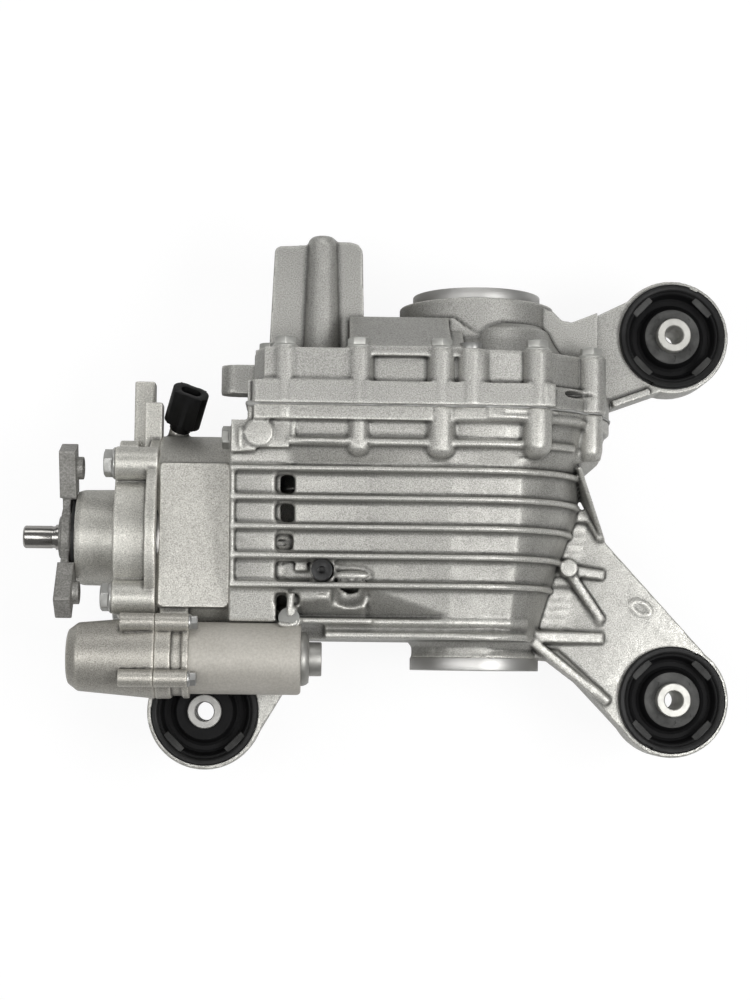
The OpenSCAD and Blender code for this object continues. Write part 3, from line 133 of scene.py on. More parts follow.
hang_lamp("front_lamp", (0.0, -0.15, 1.3), (0.6, 0.4), 4.2)
hang_lamp("right_lamp", (0.85, -0.15, 1.12), (0.6, 0.4), 9.5)
hang_lamp("left_lamp", (-0.55, -0.1, 1.0), (0.5, 0.6), 3)
hang_lamp("upper_lamp", (0.1, 1.3, 0.9), (1.3, 0.5), 5.5)
scene.view_settings.view_transform = "Standard"


# Main housing: one gravity casting in aluminium with five cooling fins and two bushing arms.
# Its corners are all rounded by the mould, so the solid is taken over as one skin of small
# faces and softened. As cast, it is grey with a fine grain and a slight yellow tint.
def pick(piece):
    bpy.ops.object.select_all(action="DESELECT")
    piece.select_set(True)
    bpy.context.view_layer.objects.active = piece


def copy_of(node, name):
    piece = bpy.data.objects.new(name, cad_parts[node].data.copy())
    scene.collection.objects.link(piece)
    piece.data.materials.clear()
    pick(piece)
    bpy.ops.object.mode_set(mode="EDIT")
    bpy.ops.mesh.select_all(action="SELECT")
    bpy.ops.mesh.remove_doubles(threshold=0.00001)
    bpy.ops.object.mode_set(mode="OBJECT")
    return piece


def soften(piece, voxel, rounds, most_faces):
    pick(piece)
    skin = piece.modifiers.new("skin", "REMESH")
    skin.mode = "VOXEL"
    skin.voxel_size = voxel
    skin.use_smooth_shade = True
    bpy.ops.object.modifier_apply(modifier="skin")
    ease = piece.modifiers.new("ease", "SMOOTH")
    ease.factor = 0.5
    ease.iterations = rounds
    bpy.ops.object.modifier_apply(modifier="ease")
    triangles = 2 * len(piece.data.polygons)
    if triangles > most_faces:
        thin = piece.modifiers.new("thin", "DECIMATE")
        thin.ratio = most_faces / triangles
        bpy.ops.object.modifier_apply(modifier="thin")
    print("casting", piece.name, triangles, len(piece.data.polygons))


def start_material(name):
    made = bpy.data.materials.new(name)
    made.use_nodes = True
    tree = made.node_tree
    shader = tree.nodes["Principled BSDF"]
    place = tree.nodes.new("ShaderNodeTexCoord").outputs["Object"]
    return made, tree, shader, place


def noise(tree, place, scale, detail=3.0, rough=0.55):
    node = tree.nodes.new("ShaderNodeTexNoise")
    node.inputs["Scale"].default_value = scale
    node.inputs["Detail"].default_value = detail
    node.inputs["Roughness"].default_value = rough
    tree.links.new(place, node.inputs["Vector"])
    return node.outputs["Fac"]


def ramp(tree, value, low, high, dark, light):
    node = tree.nodes.new("ShaderNodeValToRGB")
    node.color_ramp.elements[0].position = low
    node.color_ramp.elements[0].color = (*dark, 1)
    node.color_ramp.elements[1].position = high
    node.color_ramp.elements[1].color = (*light, 1)
    tree.links.new(value, node.inputs["Fac"])
    return node.outputs["Color"]


def blended(tree, kind, share, first, second):
    node = tree.nodes.new("ShaderNodeMix")
    node.data_type = "RGBA"
    node.blend_type = kind
    node.inputs["Factor"].default_value = share
    tree.links.new(first, node.inputs[6])
    tree.links.new(second, node.inputs[7])
    return node.outputs[2]


def bumped(tree, shader, height, strength, depth, under=None):
    node = tree.nodes.new("ShaderNodeBump")
    node.inputs["Strength"].default_value = strength
    node.inputs["Distance"].default_value = depth
    tree.links.new(height, node.inputs["Height"])
    if under:
        tree.links.new(under, node.inputs["Normal"])
    tree.links.new(node.outputs["Normal"], shader.inputs["Normal"])
    return node.outputs["Normal"]


def cast_alloy(name, tone, grain=1.0):
    """Shot-blasted casting: a fine grain, with a painted highlight on its crests and painted shade in its
    corners.
    """
    made, tree, shader, place = start_material(name)
    darker = [v * 0.95 for v in tone]
    paler = [v * 1.05 for v in tone]
    broad = ramp(tree, noise(tree, place, 22, 4), 0.3, 0.7, darker, paler)
    speck = ramp(tree, noise(tree, place, 1400, 2, 0.72), 0.3, 0.68, (0.48, 0.48, 0.47), (1.18, 1.18, 1.18))
    # Painted light from the mesh's pointiness: crests are painted up to 1.42 times paler as a painted
    # highlight, and creases and corners down to 0.15 as painted shade.
    crest_light_crease_shade = tree.nodes.new("ShaderNodeValToRGB")
    stops = crest_light_crease_shade.color_ramp.elements
    stops.new(0.485)
    stops.new(0.505)
    for stop, (place_on, shade) in zip(stops, ((0.455, 0.15), (0.489, 0.72), (0.502, 1.0), (0.54, 1.42))):
        stop.position = place_on
        stop.color = (shade, shade, shade * 0.99, 1)
    tree.links.new(tree.nodes.new("ShaderNodeNewGeometry").outputs["Pointiness"], crest_light_crease_shade.inputs["Fac"])
    grainy = blended(tree, "MULTIPLY", 1.0, broad, speck)
    grain_and_painted_light = blended(tree, "MULTIPLY", 1.0, grainy, crest_light_crease_shade.outputs["Color"])
    tree.links.new(grain_and_painted_light, shader.inputs["Base Color"])
    edge = tree.nodes.new("ShaderNodeMapRange")
    edge.inputs["From Min"].default_value = 0.35
    edge.inputs["From Max"].default_value = 0.7
    edge.inputs["To Min"].default_value = 0.40
    edge.inputs["To Max"].default_value = 0.52
    tree.links.new(noise(tree, place, 300, 3), edge.inputs["Value"])
    tree.links.new(edge.outputs["Result"], shader.inputs["Roughness"])
    shader.inputs["Metallic"].default_value = 0.62
    wave = bumped(tree, shader, noise(tree, place, 120, 2), 0.12, 0.0006)
    bumped(tree, shader, noise(tree, place, 1200, 2, 0.7), 0.45 * grain, 0.0003, wave)
    return made


def wedge_rib(start, end, width, foot, crest, tip=0.0, draft=1.7):
    """A rib with sloping sides that starts crest high and runs down to the arm at its end."""
    run = (Vector(end) - Vector(start)).normalized()
    side = Vector((-run.y, run.x)) * width / 2
    corners = []
    for place, top in ((Vector(start), crest), (Vector(end), foot + tip)):
        for reach in (side, -side):
            low = place + reach * (draft if top > foot + 0.006 else 1.2)
            high = place + reach
            corners.append((low.x, low.y, foot - 0.004))
            corners.append((high.x, high.y, top))
    mesh = bpy.data.meshes.new("rib")
    sides = [(0, 1, 5, 4), (2, 6, 7, 3), (1, 3, 7, 5), (0, 4, 6, 2), (0, 2, 3, 1), (4, 5, 7, 6)]
    mesh.from_pydata(corners, [], sides)
    rib = bpy.data.objects.new("rib", mesh)
    scene.collection.objects.link(rib)
    pick(rib)
    bpy.ops.object.mode_set(mode="EDIT")
    bpy.ops.mesh.select_all(action="SELECT")
    bpy.ops.mesh.normals_make_consistent(inside=False)
    bpy.ops.object.mode_set(mode="OBJECT")
    return rib


def joined(piece, others):
    bpy.ops.object.select_all(action="DESELECT")
    for other in others:
        other.select_set(True)
    piece.select_set(True)
    bpy.context.view_layer.objects.active = piece
    bpy.ops.object.join()


def turned_shape(name, profile, steps=64, sharp=32):
    """Spins a closed outline of (radius, height) about Z."""
    mesh = bpy.data.meshes.new(name)
    count = len(profile)
    mesh.from_pydata([(r, 0, h) for r, h in profile], [(i, (i + 1) % count) for i in range(count)], [])
    piece = bpy.data.objects.new(name, mesh)
    scene.collection.objects.link(piece)
    pick(piece)
    bpy.ops.object.mode_set(mode="EDIT")
    bpy.ops.mesh.select_all(action="SELECT")
    bpy.ops.mesh.spin(steps=steps, angle=2 * math.pi, center=(0, 0, 0), axis=(0, 0, 1))
    bpy.ops.mesh.select_all(action="SELECT")
    bpy.ops.mesh.remove_doubles(threshold=0.000005)
    bpy.ops.mesh.dissolve_degenerate(threshold=0.000001)
    bpy.ops.mesh.normals_make_consistent(inside=False)
    bpy.ops.object.mode_set(mode="OBJECT")
    bpy.ops.object.shade_smooth_by_angle(angle=math.radians(sharp))
    return piece


def mesh_piece(name, corners, faces):
    mesh = bpy.data.meshes.new(name)
    mesh.from_pydata([(x / 1000, y / 1000, z / 1000) for x, y, z in corners], [], faces)
    piece = bpy.data.objects.new(name, mesh)
    scene.collection.objects.link(piece)
    pick(piece)
    bpy.ops.object.mode_set(mode="EDIT")
    bpy.ops.mesh.select_all(action="SELECT")
    bpy.ops.mesh.normals_make_consistent(inside=False)
    bpy.ops.object.mode_set(mode="OBJECT")
    return piece


def block(low, high):
    """A box between two corners in millimetres."""
    bpy.ops.object.select_all(action="DESELECT")
    bpy.ops.mesh.primitive_cube_add(size=1, location=(0, 0, 0))
    piece = bpy.context.object
    size = [(b - a) / 1000 for a, b in zip(low, high)]
    middle = [(a + b) / 2000 for a, b in zip(low, high)]
    piece.data.transform(Matrix.Translation(middle) @ Matrix.Diagonal((*size, 1)))
    return piece


def ball(centre, radii):
    bpy.ops.object.select_all(action="DESELECT")
    bpy.ops.mesh.primitive_uv_sphere_add(segments=32, ring_count=20, radius=0.001, location=(0, 0, 0))
    piece = bpy.context.object
    piece.data.transform(Matrix.Translation([v / 1000 for v in centre]) @ Matrix.Diagonal((*radii, 1)))
    return piece


def rod(axis, centre, radius, low, high, top_radius=None):
    """A round peg along one axis, from low to high on it."""
    bpy.ops.object.select_all(action="DESELECT")
    bpy.ops.mesh.primitive_cone_add(
        vertices=48, radius1=radius / 1000, radius2=(top_radius or radius) / 1000,
        depth=(high - low) / 1000, location=(0, 0, 0))
    piece = bpy.context.object
    aim = {"x": (1, 0, 0), "y": (0, 1, 0), "z": (0, 0, 1)}[axis]
    spot = list(centre)
    spot.insert("xyz".index(axis), (low + high) / 2)
    piece.data.transform(Matrix.Translation([v / 1000 for v in spot])
                         @ Vector(aim).to_track_quat("Z", "Y").to_matrix().to_4x4())
    return piece


def plate(outline, across, low, high):
    """An outline drawn on the plane across one axis, given its thickness along that axis."""
    corners = []
    for level in (low, high):
        for a, b in outline:
            spot = [a, b]
            spot.insert("xyz".index(across), level)
            corners.append(spot)
    count = len(outline)
    faces = [tuple(range(count)), tuple(range(2 * count - 1, count - 1, -1))]
    for i in range(count):
        faces.append((i, (i + 1) % count, count + (i + 1) % count, count + i))
    return mesh_piece("plate", corners, faces)


def bar(points, radius, tip=0.35):
    """A round bar along a line of points, thinner at both ends."""
    curve = bpy.data.curves.new("bar", "CURVE")
    curve.dimensions = "3D"
    curve.bevel_depth = radius / 1000
    curve.bevel_resolution = 4
    curve.use_fill_caps = True
    line = curve.splines.new("POLY")
    line.points.add(len(points) - 1)
    for number, (point, spot) in enumerate(zip(line.points, points)):
        point.co = (spot[0] / 1000, spot[1] / 1000, spot[2] / 1000, 1)
        point.radius = tip if number in (0, len(points) - 1) else 1.0
    piece = bpy.data.objects.new("bar", curve)
    scene.collection.objects.link(piece)
    pick(piece)
    bpy.ops.object.convert(target="MESH")
    return bpy.context.object


def carve(piece, tools):
    for tool in tools:
        pick(piece)
        cut = piece.modifiers.new("cut", "BOOLEAN")
        cut.operation = "DIFFERENCE"
        cut.solver = "EXACT"
        cut.object = tool
        bpy.ops.object.modifier_apply(modifier="cut")
        bpy.data.objects.remove(tool)


# Sizes of the bell in millimetres: the axle's place along X, the heights of its lower and upper end
# and the radii there, and where its flat facet starts and ends
axle_x = 274
bell_low, bell_high = -66, 80
bell_low_r, bell_high_r = 56, 88
facet_start, facet_end = 254, 300


def bell(y):
    return bell_low_r + (bell_high_r - bell_low_r) * (y - bell_low) / (bell_high - bell_low)


# How much narrower the bell is than deep, by height
flank = ((-80, 0.75), (-57, 0.73), (-40, 0.77), (-20, 0.82), (0, 0.87), (14, 0.915), (30, 0.895),
         (43, 0.885), (53, 1.0))


def flank_share(y):
    for (low, first), (high, second) in zip(flank, flank[1:]):
        if y <= high:
            return first + (second - first) * max(0.0, y - low) / (high - low)
    return 1.0


housing = copy_of("main_housing", "housing_casting")
carve(housing, [
    block((142, 25, 73), (146.4, 36.4, 95)),
    block((142, 7.2, 69), (146.4, 18.4, 95)),
    block((142.4, -10.4, 62), (153.6, -0.4, 95)),
    block((142.4, -29.6, 58), (166, -17.2, 95)),
    rod("z", (172, -23.2), 7.6, 60, 95),
    bar([(177, -20.8, 66.6), (190, -20.8, 66.6), (199, -21.2, 66.4), (203.4, -24, 65.8),
         (204.4, -29, 65)], 1.7, 1.0),
    block((143.2, -56, 36), (150.2, -38.6, 75)),
    ball((190.5, -38.5, 66), (13, 12, 16)),
    mesh_piece("facet", [(202, -34, 62.6), (262, -53.6, 59), (199.5, -53, 44), (202, -34, 80),
                         (262, -53.6, 80), (199.5, -53, 80)],
               [(0, 1, 2), (3, 5, 4), (0, 3, 4, 1), (1, 4, 5, 2), (2, 5, 3, 0)]),
    mesh_piece("undercut", [(157, -40, 64), (200, -40, 64), (200, -53, 45), (157, -53, 45), (157, -40, 80),
                            (200, -40, 80), (200, -53, 80), (157, -53, 80)],
               [(0, 1, 2, 3), (7, 6, 5, 4), (0, 4, 5, 1), (1, 5, 6, 2), (2, 6, 7, 3), (3, 7, 4, 0)]),
])
soften(housing, 0.0012, 0, 400000)
count = len(housing.data.vertices)
spots = [0.0] * (3 * count)
housing.data.vertices.foreach_get("co", spots)
# Bolt bosses on the housing: x, radius, lower end, wall behind, crest
bosses = ((194, 7.6, 48.6, 81.0, 87.2), (246, 9.6, 47.4, 80.8, 89.2), (307, 9.6, 49, 73.5, 89.2),
          (345, 7.7, 50, 50, 59.7))
# The easing of the bell ends at this height, below the flange
eased_top = 53
for i in range(0, 3 * count, 3):
    x, height, depth = [v * 1000 for v in spots[i:i + 3]]
    # The lower ends of the bosses are rounded off
    for boss_x, radius, foot_y, wall_z, crest_z in bosses:
        if abs(x - boss_x) < radius + 0.5 and foot_y - 1 < height < foot_y + 7.4 and abs(depth) > wall_z:
            side = (x - boss_x) / radius
            front = (abs(depth) - wall_z) / (crest_z - wall_z)
            full = math.hypot(side, front)
            most = math.sqrt(max(0.0, 1 - ((foot_y + 7.4 - height) / 7.6) ** 2))
            if full > most:
                x = boss_x + side * radius * most / full
                depth = math.copysign(wall_z + front * (crest_z - wall_z) * most / full, depth)
    # The front wall falls back a little left of the axle
    if x < facet_start and height < eased_top and depth > 30:
        fall = min(1.0, (facet_start - x) / 52) * min(1.0, max(0.0, (x - 146) / 8))
        depth -= 4.4 * (fall * min(1.0, (eased_top - height) / 14))
    # A flat facet leads from there round to the right flank
    if facet_start <= x < facet_end and -64 < height < eased_top and abs(depth) > 40:
        radius = bell(height)
        arc_z = math.sqrt(radius ** 2 - max(0.0, x - axle_x) ** 2)
        end_z = math.sqrt(radius ** 2 - (facet_end - axle_x) ** 2)
        chord_z = radius + (x - facet_start) / (facet_end - facet_start) * (end_z - radius)
        drop = (arc_z - chord_z) * min(1.0, (eased_top - height) / 14, (height + 64) / 6)
        depth -= math.copysign(max(0.0, drop), depth)
    # The right flank draws in towards the lower neck
    away = x - axle_x
    if away > 0 and height < eased_top:
        reach = math.hypot(away, depth)
        share = flank_share(height)
        if reach < bell(height) - 1.5 and height > 12:
            share = max(share, 0.94)
        if reach < bell(height) + (7.5 if abs(depth) > 25 else 0.8):
            x = axle_x + away * share
    spots[i:i + 3] = (x / 1000, height / 1000, depth / 1000)
housing.data.vertices.foreach_set("co", spots)

# Five cooling fins, the highest at 40 mm and the rest evenly below it
fin_top = 40
fin_step = 18.1
shapes = []
for number in range(5):
    y = fin_top - fin_step * number
    crest = bell(y) + 6
    outer = [(114, crest)]
    inner = [(114, crest - 12.5)]
    line = [(115, y, crest - 1.4)]
    for step in range(13):
        angle = math.radians(step * 6.6)
        lift = 6 - 5 * max(0.0, step * 6.6 - 42) / 40
        sine = math.sin(angle)
        cosine = math.cos(angle)
        outer.append((axle_x + (bell(y) + lift) * sine * flank_share(y), (bell(y) + lift) * cosine))
        inner.append((axle_x + (bell(y) - 5) * sine * flank_share(y), (bell(y) - 6.5) * cosine))
        line.append((outer[-1][0] - 1.2 * sine, y, outer[-1][1] - 1.4 * cosine))
    for back in (1, -1):
        shapes.append(plate([(x, back * z) for x, z in outer + inner[::-1]], "y", y - 1.6, y + 1.6))
        shapes.append(bar([(x, spot_y, back * z) for x, spot_y, z in line], 2.0, 0.8))
    # The left edge of the tiles between the fins is raised too
    if number < 4:
        for back in (1, -1):
            edge_line = [(115.2, spot_y, back * (bell(spot_y) + 4.2))
                         for spot_y in (y, y - 9, y - fin_step)]
            shapes.append(bar(edge_line, 1.5, 1.0))
for y, last in ((78.2, 318), (73.8, 341)):
    arc = [(281, y, 88.6)]
    while arc[-1][0] < last:
        x = arc[-1][0] + 5
        arc.append((x, y, math.sqrt(89.8 ** 2 - (x - axle_x) ** 2)))
    shapes.append(bar(arc, 1.5, 0.3))
shapes += [
    # Filled wall under the first cover bolt, a round pad and a raised field beside it
    block((140, 57, 79), (154, 72, 84.6)),
    block((128, 70.8, 78), (240, 79.9, 88.2)),
    bar([(151, 57.4, 85.8), (170, 57.4, 86), (187, 57.4, 86)], 1.7, 0.5),
    rod("z", (131.4, 62.1), 8.8, 76, 86.6),
    plate([(114, 49.6), (128.5, 50.4), (130.5, 52.8), (150, 53), (150, 70), (114, 70)], "z", 76, 85.1),
    bar([(119.6, 52.6, 85.4), (119.6, 64, 85.8)], 1.5, 0.7),
    # Floors and a small lug in the slots between the fins, and the smooth pad below the level plug
    block((142.6, -10.2, 50), (153.8, -0.6, 58)),
    block((142.6, -29.4, 50), (167, -17.4, 56.6)),
    block((155, -23.4, 54), (163, -19.6, 60.4)),
    ball((191, -26.2, 64), (12, 3.2, 3.4)),
    bar([(152.8, -37.5, 61), (151.8, -52, 60)], 2.4, 1.0),
    # Flare of the lower neck
    rod("y", (axle_x, 0), 42.4, -77, -72, 40.2),
    rod("y", (axle_x, 0), 40.2, -72.2, -64, 46),
]
# Ribs on the rear arm, which meet at a round pad beside the bell
shapes += [
    rod("z", (334.2, -17.6), 6.2, 4, 27.2, 5.8),
    wedge_rib((0.3375, 0.0465), (0.3588, 0.0010), 0.0026, 0.012, 0.052, 0.001, 2.6),
    wedge_rib((0.334, -0.0185), (0.3592, -0.0215), 0.0058, 0.012, 0.022, 0.0035),
    wedge_rib((0.334, -0.0185), (0.3580, -0.0520), 0.0050, 0.012, 0.0245, 0.0025),
    wedge_rib((0.306, -0.0625), (0.3588, -0.0630), 0.0066, 0.012, 0.027, 0.0025),
    wedge_rib((0.307, -0.0630), (0.3605, -0.1045), 0.0052, 0.012, 0.027, 0.002),
]
# A blank oval mark cast on the rear arm
bpy.ops.object.select_all(action="DESELECT")
bpy.ops.mesh.primitive_torus_add(
    major_radius=0.0046, minor_radius=0.0009, major_segments=40, minor_segments=8, location=(0, 0, 0))
mark = bpy.context.object
oval = Matrix.Diagonal((1.5, 0.85, 1, 1))
tilt = Matrix.Rotation(math.radians(-28), 4, "Z")
mark.data.transform(Matrix.Translation((0.3838, -0.043, 0.0121)) @ tilt @ oval)
shapes.append(mark)
joined(housing, shapes)
soften(housing, 0.001, 2, 196000)
housing_alloy = cast_alloy("housing_cast_alloy", (0.45, 0.444, 0.422))
housing.data.materials.append(housing_alloy)
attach(housing, "casing")
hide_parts("main_housing")


# Side cover: a second casting in the same alloy, with the tower, the round boss for the upper
# output and its own bushing arm. It is a little darker than the housing.
cover = copy_of("side_cover", "cover_casting")
carve(cover, [ball((336, 91.5, 67), (14, 2.3, 9))])
joined(cover, [
    # The flange band, flush with the bosses
    plate([(127, 80), (127, 88), (129, 89.2), (312, 89.2), (318, 87.2), (319.5, 66), (300, 66)],
          "y", 80.7, 95.4),
    # Front wall between the tower and the second bolt, and the wide filler boss
    block((134, 94, 60), (195, 116.4, 87.4)),
    rod("y", (266.9, 78.2), 11.3, 94, 116.4, 10.8),
    # Sloping shoulder left of the output boss, cut back at its right end, and a round one right of it
    plate([(112, 40), (112, 86.6), (118, 86), (142.2, 53), (142.2, 40)], "x", 188, 252),
    plate([(112, 40), (112, 86.6), (118, 86), (131, 64), (131, 40)], "x", 251, 260.5),
    rod("y", (292, 30), 42, 112, 128, 31),
    rod("y", (292, 30), 31, 128, 136, 27),
    rod("y", (292, 30), 27, 136, 139.5, 22),
])
soften(cover, 0.001, 2, 194000)
cover.data.materials.append(cast_alloy("cover_cast_alloy", (0.42, 0.415, 0.397), 1.2))
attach(cover, "casing")
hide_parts("side_cover")


# Coupling housing: a thick cast tube in the same alloy, with a flat pad in front whose corners are
# rounded, and a saddle for the pump. The front cover's long bolts clamp it to the main housing.
coupling = copy_of("coupling_housing", "coupling_casting")
corner_r = 3
corners = []
for corner_x, way_x in ((67.5, 1), (113, -1)):
    for corner_y, way_y in ((45.5, -1), (-47, 1)):
        outline = [(corner_x - way_x, corner_y - way_y)]
        for step in range(9):
            angle = math.radians(step * 11.25)
            outline.append((corner_x + way_x * corner_r * (1 - math.sin(angle)),
                            corner_y + way_y * corner_r * (1 - math.cos(angle))))
        corners.append(plate(outline, "z", 51.8, 60))
carve(coupling, corners)
soften(coupling, 0.001, 2, 120000)
coupling.data.materials.append(cast_alloy("coupling_cast_alloy", (0.48, 0.47, 0.44), 0.8))
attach(coupling, "casing")
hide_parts("coupling_housing")

# Front cover: a third casting in the same alloy, with a round nose for the input shaft and two
# upright lugs on its rim. Four long bolts hold it on the coupling housing.
nose = copy_of("front_cover", "front_cover_casting")
soften(nose, 0.0009, 2, 120000)
nose.data.materials.append(cast_alloy("front_cast_alloy", (0.55, 0.54, 0.505), 0.9))
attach(nose, "casing")
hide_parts("front_cover")

# Pump housing and pump body: two pressure die castings in aluminium, smoother than the rest.
# Three bolts hold them together on the saddle below the coupling.
for node, title in (("pump_housing", "pump_dome_casting"), ("pump_body", "pump_body_casting")):
    pump = copy_of(node, title)
    soften(pump, 0.0008, 3, 60000)
    pump.data.materials.append(cast_alloy(title + "_alloy", (0.43, 0.414, 0.38), 0.6))
    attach(pump, "casing")
    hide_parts(node)


# Hexagon flange bolts: upset steel with a zinc coat, chamfered on top with a shallow dish. One
# is modelled for each size and copied to its places; the shanks go down into the castings.
def bright_zinc(name, tone, rough):
    made, tree, shader, place = start_material(name)
    darker = [v * 0.86 for v in tone]
    paler = [v * 1.06 for v in tone]
    cloud = ramp(tree, noise(tree, place, 130, 3), 0.3, 0.72, darker, paler)
    tree.links.new(cloud, shader.inputs["Base Color"])
    edge = tree.nodes.new("ShaderNodeMapRange")
    edge.inputs["To Min"].default_value = rough - 0.08
    edge.inputs["To Max"].default_value = rough + 0.12
    tree.links.new(noise(tree, place, 420, 3), edge.inputs["Value"])
    tree.links.new(edge.outputs["Result"], shader.inputs["Roughness"])
    shader.inputs["Metallic"].default_value = 0.8
    bumped(tree, shader, noise(tree, place, 700, 2), 0.16, 0.0002)
    return made


def hex_flange_bolt(name, across, high, flange_r, shank_r, shank_len):
    bpy.ops.object.select_all(action="DESELECT")
    bpy.ops.mesh.primitive_cylinder_add(
        vertices=6, radius=across / math.sqrt(3), depth=high, location=(0, 0, high / 2), rotation=(0, 0, 0))
    head = bpy.context.object
    bpy.ops.object.transform_apply(location=True, rotation=True, scale=True)
    chamfer = turned_shape(name + "_chamfer", [
        (0, high * 0.88), (across * 0.30, high * 0.88), (across * 0.35, high * 0.99),
        (across * 0.46, high * 0.99), (across * 0.60, high * 0.99 - across * 0.07),
        (across * 0.60, high * 0.02), (0, high * 0.02)], 48)
    pick(head)
    cut = head.modifiers.new("chamfer", "BOOLEAN")
    cut.operation = "INTERSECT"
    cut.solver = "EXACT"
    cut.object = chamfer
    bpy.ops.object.modifier_apply(modifier="chamfer")
    bpy.data.objects.remove(chamfer)
    round_off = head.modifiers.new("round", "BEVEL")
    round_off.width = across * 0.018
    round_off.segments = 2
    round_off.limit_method = "ANGLE"
    round_off.angle_limit = math.radians(50)
    bpy.ops.object.modifier_apply(modifier="round")
    bpy.ops.object.shade_smooth_by_angle(angle=math.radians(28))
    seat = turned_shape(name + "_seat", [
        (0, high * 0.3), (flange_r * 0.84, high * 0.3), (flange_r * 0.93, high * 0.2),
        (flange_r, high * 0.09), (flange_r, high * 0.02), (flange_r * 0.98, 0), (shank_r, 0),
        (shank_r, 0.0008 - shank_len), (shank_r - 0.0008, -shank_len), (0, -shank_len)], 40)
    joined(head, [seat])
    head.name = name
    return head


def placed_copies(pattern, name, places, material, node):
    for number, place in enumerate(places, 1):
        piece = bpy.data.objects.new("%s_%02d" % (name, number), pattern.data.copy())
        scene.collection.objects.link(piece)
        piece.data.transform(place)
        piece.data.materials.clear()
        piece.data.materials.append(material)
        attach(piece, "casing")
        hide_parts(node)
    bpy.data.objects.remove(pattern)


def facing(direction, x, y, z, roll=0.0):
    turned = Vector(direction).to_track_quat("Z", "Y").to_matrix().to_4x4()
    rolled = Matrix.Rotation(math.radians(roll), 4, "Z")
    return Matrix.Translation((x / 1000, y / 1000, z / 1000)) @ turned @ rolled


bolt_zinc = bright_zinc("bolt_zinc", (0.56, 0.56, 0.53), 0.42)
cover_places = [(x, s * 80) for x in (147, 194, 246, 307) for s in (1, -1)]
cover_places += [(345.01, 51.97), (345.01, -51.97), (136.5, 51), (136.5, -51)]
pattern = hex_flange_bolt("cover_bolt", 0.013, 0.0066, 0.0084, 0.004, 0.044)
cover_top = 117
placed_copies(pattern, "cover_bolt",
              [facing((0, 1, 0), x, cover_top, z, 30 if x == 194 else 3) for x, z in cover_places],
              bolt_zinc, "cover_bolts")
pattern = hex_flange_bolt("long_bolt", 0.016, 0.0074, 0.0104, 0.005, 0.0905)
long_places = []
for step in range(4):
    angle = math.radians(42 + 90 * step)
    long_places.append(facing((-1, 0, 0), 38, 61.5 * math.cos(angle), 61.5 * math.sin(angle), 14))
placed_copies(pattern, "long_bolt", long_places, bright_zinc("long_bolt_zinc", (0.5, 0.5, 0.48), 0.38),
              "long_bolts")
pattern = hex_flange_bolt("pump_bolt", 0.008, 0.0055, 0.0052, 0.003, 0.033)
pump_y, pump_z = -79.3, 52
pump_bolt_ring = 29.3
pump_places = []
for degrees in (41, 117, 240):
    angle = math.radians(degrees)
    pump_places.append(facing((1, 0, 0), 89, pump_y + pump_bolt_ring * math.cos(angle),
                              pump_z + pump_bolt_ring * math.sin(angle), 10))
placed_copies(pattern, "pump_bolt", pump_places, bright_zinc("pump_bolt_zinc", (0.4, 0.4, 0.39), 0.32),
              "pump_bolts")
pattern = hex_flange_bolt("side_bolt", 0.013, 0.0056, 0.0075, 0.004, 0.02)
placed_copies(pattern, "side_bolt_head", [facing((-1, 0, 0), 113, 60.5, 66, 30)],
              bright_zinc("side_bolt_zinc", (0.4, 0.4, 0.38), 0.5), "side_bolt")


# Input flange: a steel forging with three arms, dark and grainy where it isn't machined, and the
# ground pin that centres the shaft on it.
flange = copy_of("input_flange", "flange_forging")
soften(flange, 0.0006, 3, 90000)
forged, tree, shader, place = start_material("forged_steel")
cloud = ramp(tree, noise(tree, place, 60, 4), 0.3, 0.7, (0.28, 0.275, 0.256), (0.41, 0.40, 0.38))
speck = ramp(tree, noise(tree, place, 800, 2, 0.75), 0.36, 0.66, (0.5, 0.5, 0.49), (1.0, 1.0, 1.0))
tree.links.new(blended(tree, "MULTIPLY", 0.9, cloud, speck), shader.inputs["Base Color"])
shader.inputs["Metallic"].default_value = 0.55
shader.inputs["Roughness"].default_value = 0.5
bumped(tree, shader, noise(tree, place, 900, 3, 0.7), 0.5, 0.0004)
flange.data.materials.append(forged)
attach(flange, "input")
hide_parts("input_flange")

pin = turned_shape("centring_pin", [
    (0, 0.0254), (0.0062, 0.0254), (0.0069, 0.0250), (0.0075, 0.0241), (0.0075, 0.0068), (0.0072, 0.0062),
    (0.0072, 0.0054), (0.0074, 0.0048), (0.0074, 0.0041), (0.0083, 0.0040), (0.0084, 0.0036),
    (0.0084, 0.0017), (0.007, 0.0015), (0.007, -0.024), (0, -0.024)], 96)
pin.data.transform(Vector((-1, 0, 0)).to_track_quat("Z", "Y").to_matrix().to_4x4())
ground, tree, shader, place = start_material("ground_steel")
rings = tree.nodes.new("ShaderNodeTexWave")
rings.bands_direction = "X"
rings.inputs["Scale"].default_value = 900
rings.inputs["Distortion"].default_value = 1.5
tree.links.new(place, rings.inputs["Vector"])
tree.links.new(ramp(tree, rings.outputs["Fac"], 0.1, 0.9, (0.30, 0.29, 0.275), (0.40, 0.39, 0.37)),
               shader.inputs["Base Color"])
shader.inputs["Metallic"].default_value = 1.0
shader.inputs["Roughness"].default_value = 0.2
bumped(tree, shader, rings.outputs["Fac"], 0.08, 0.0001)
pin.data.materials.append(ground)
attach(pin, "input")
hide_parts("centring_bolt")


# Rubber bushings: a black coated shell with two notches, a moulded rubber body with a deep ring
# groove and four blank raised pads, and a bright steel sleeve. The rear two have a paler plate
# with small round pits around the sleeve.
def moulded_rubber(name, tone, rough):
    made, tree, shader, place = start_material(name)
    darker = [v * 0.6 for v in tone]
    paler = [v * 1.5 for v in tone]
    cloud = ramp(tree, noise(tree, place, 90, 4), 0.3, 0.72, darker, paler)
    tree.links.new(cloud, shader.inputs["Base Color"])
    shader.inputs["Roughness"].default_value = rough
    shader.inputs["Specular IOR Level"].default_value = 0.2
    bumped(tree, shader, noise(tree, place, 700, 3, 0.65), 0.3, 0.0003)
    return made


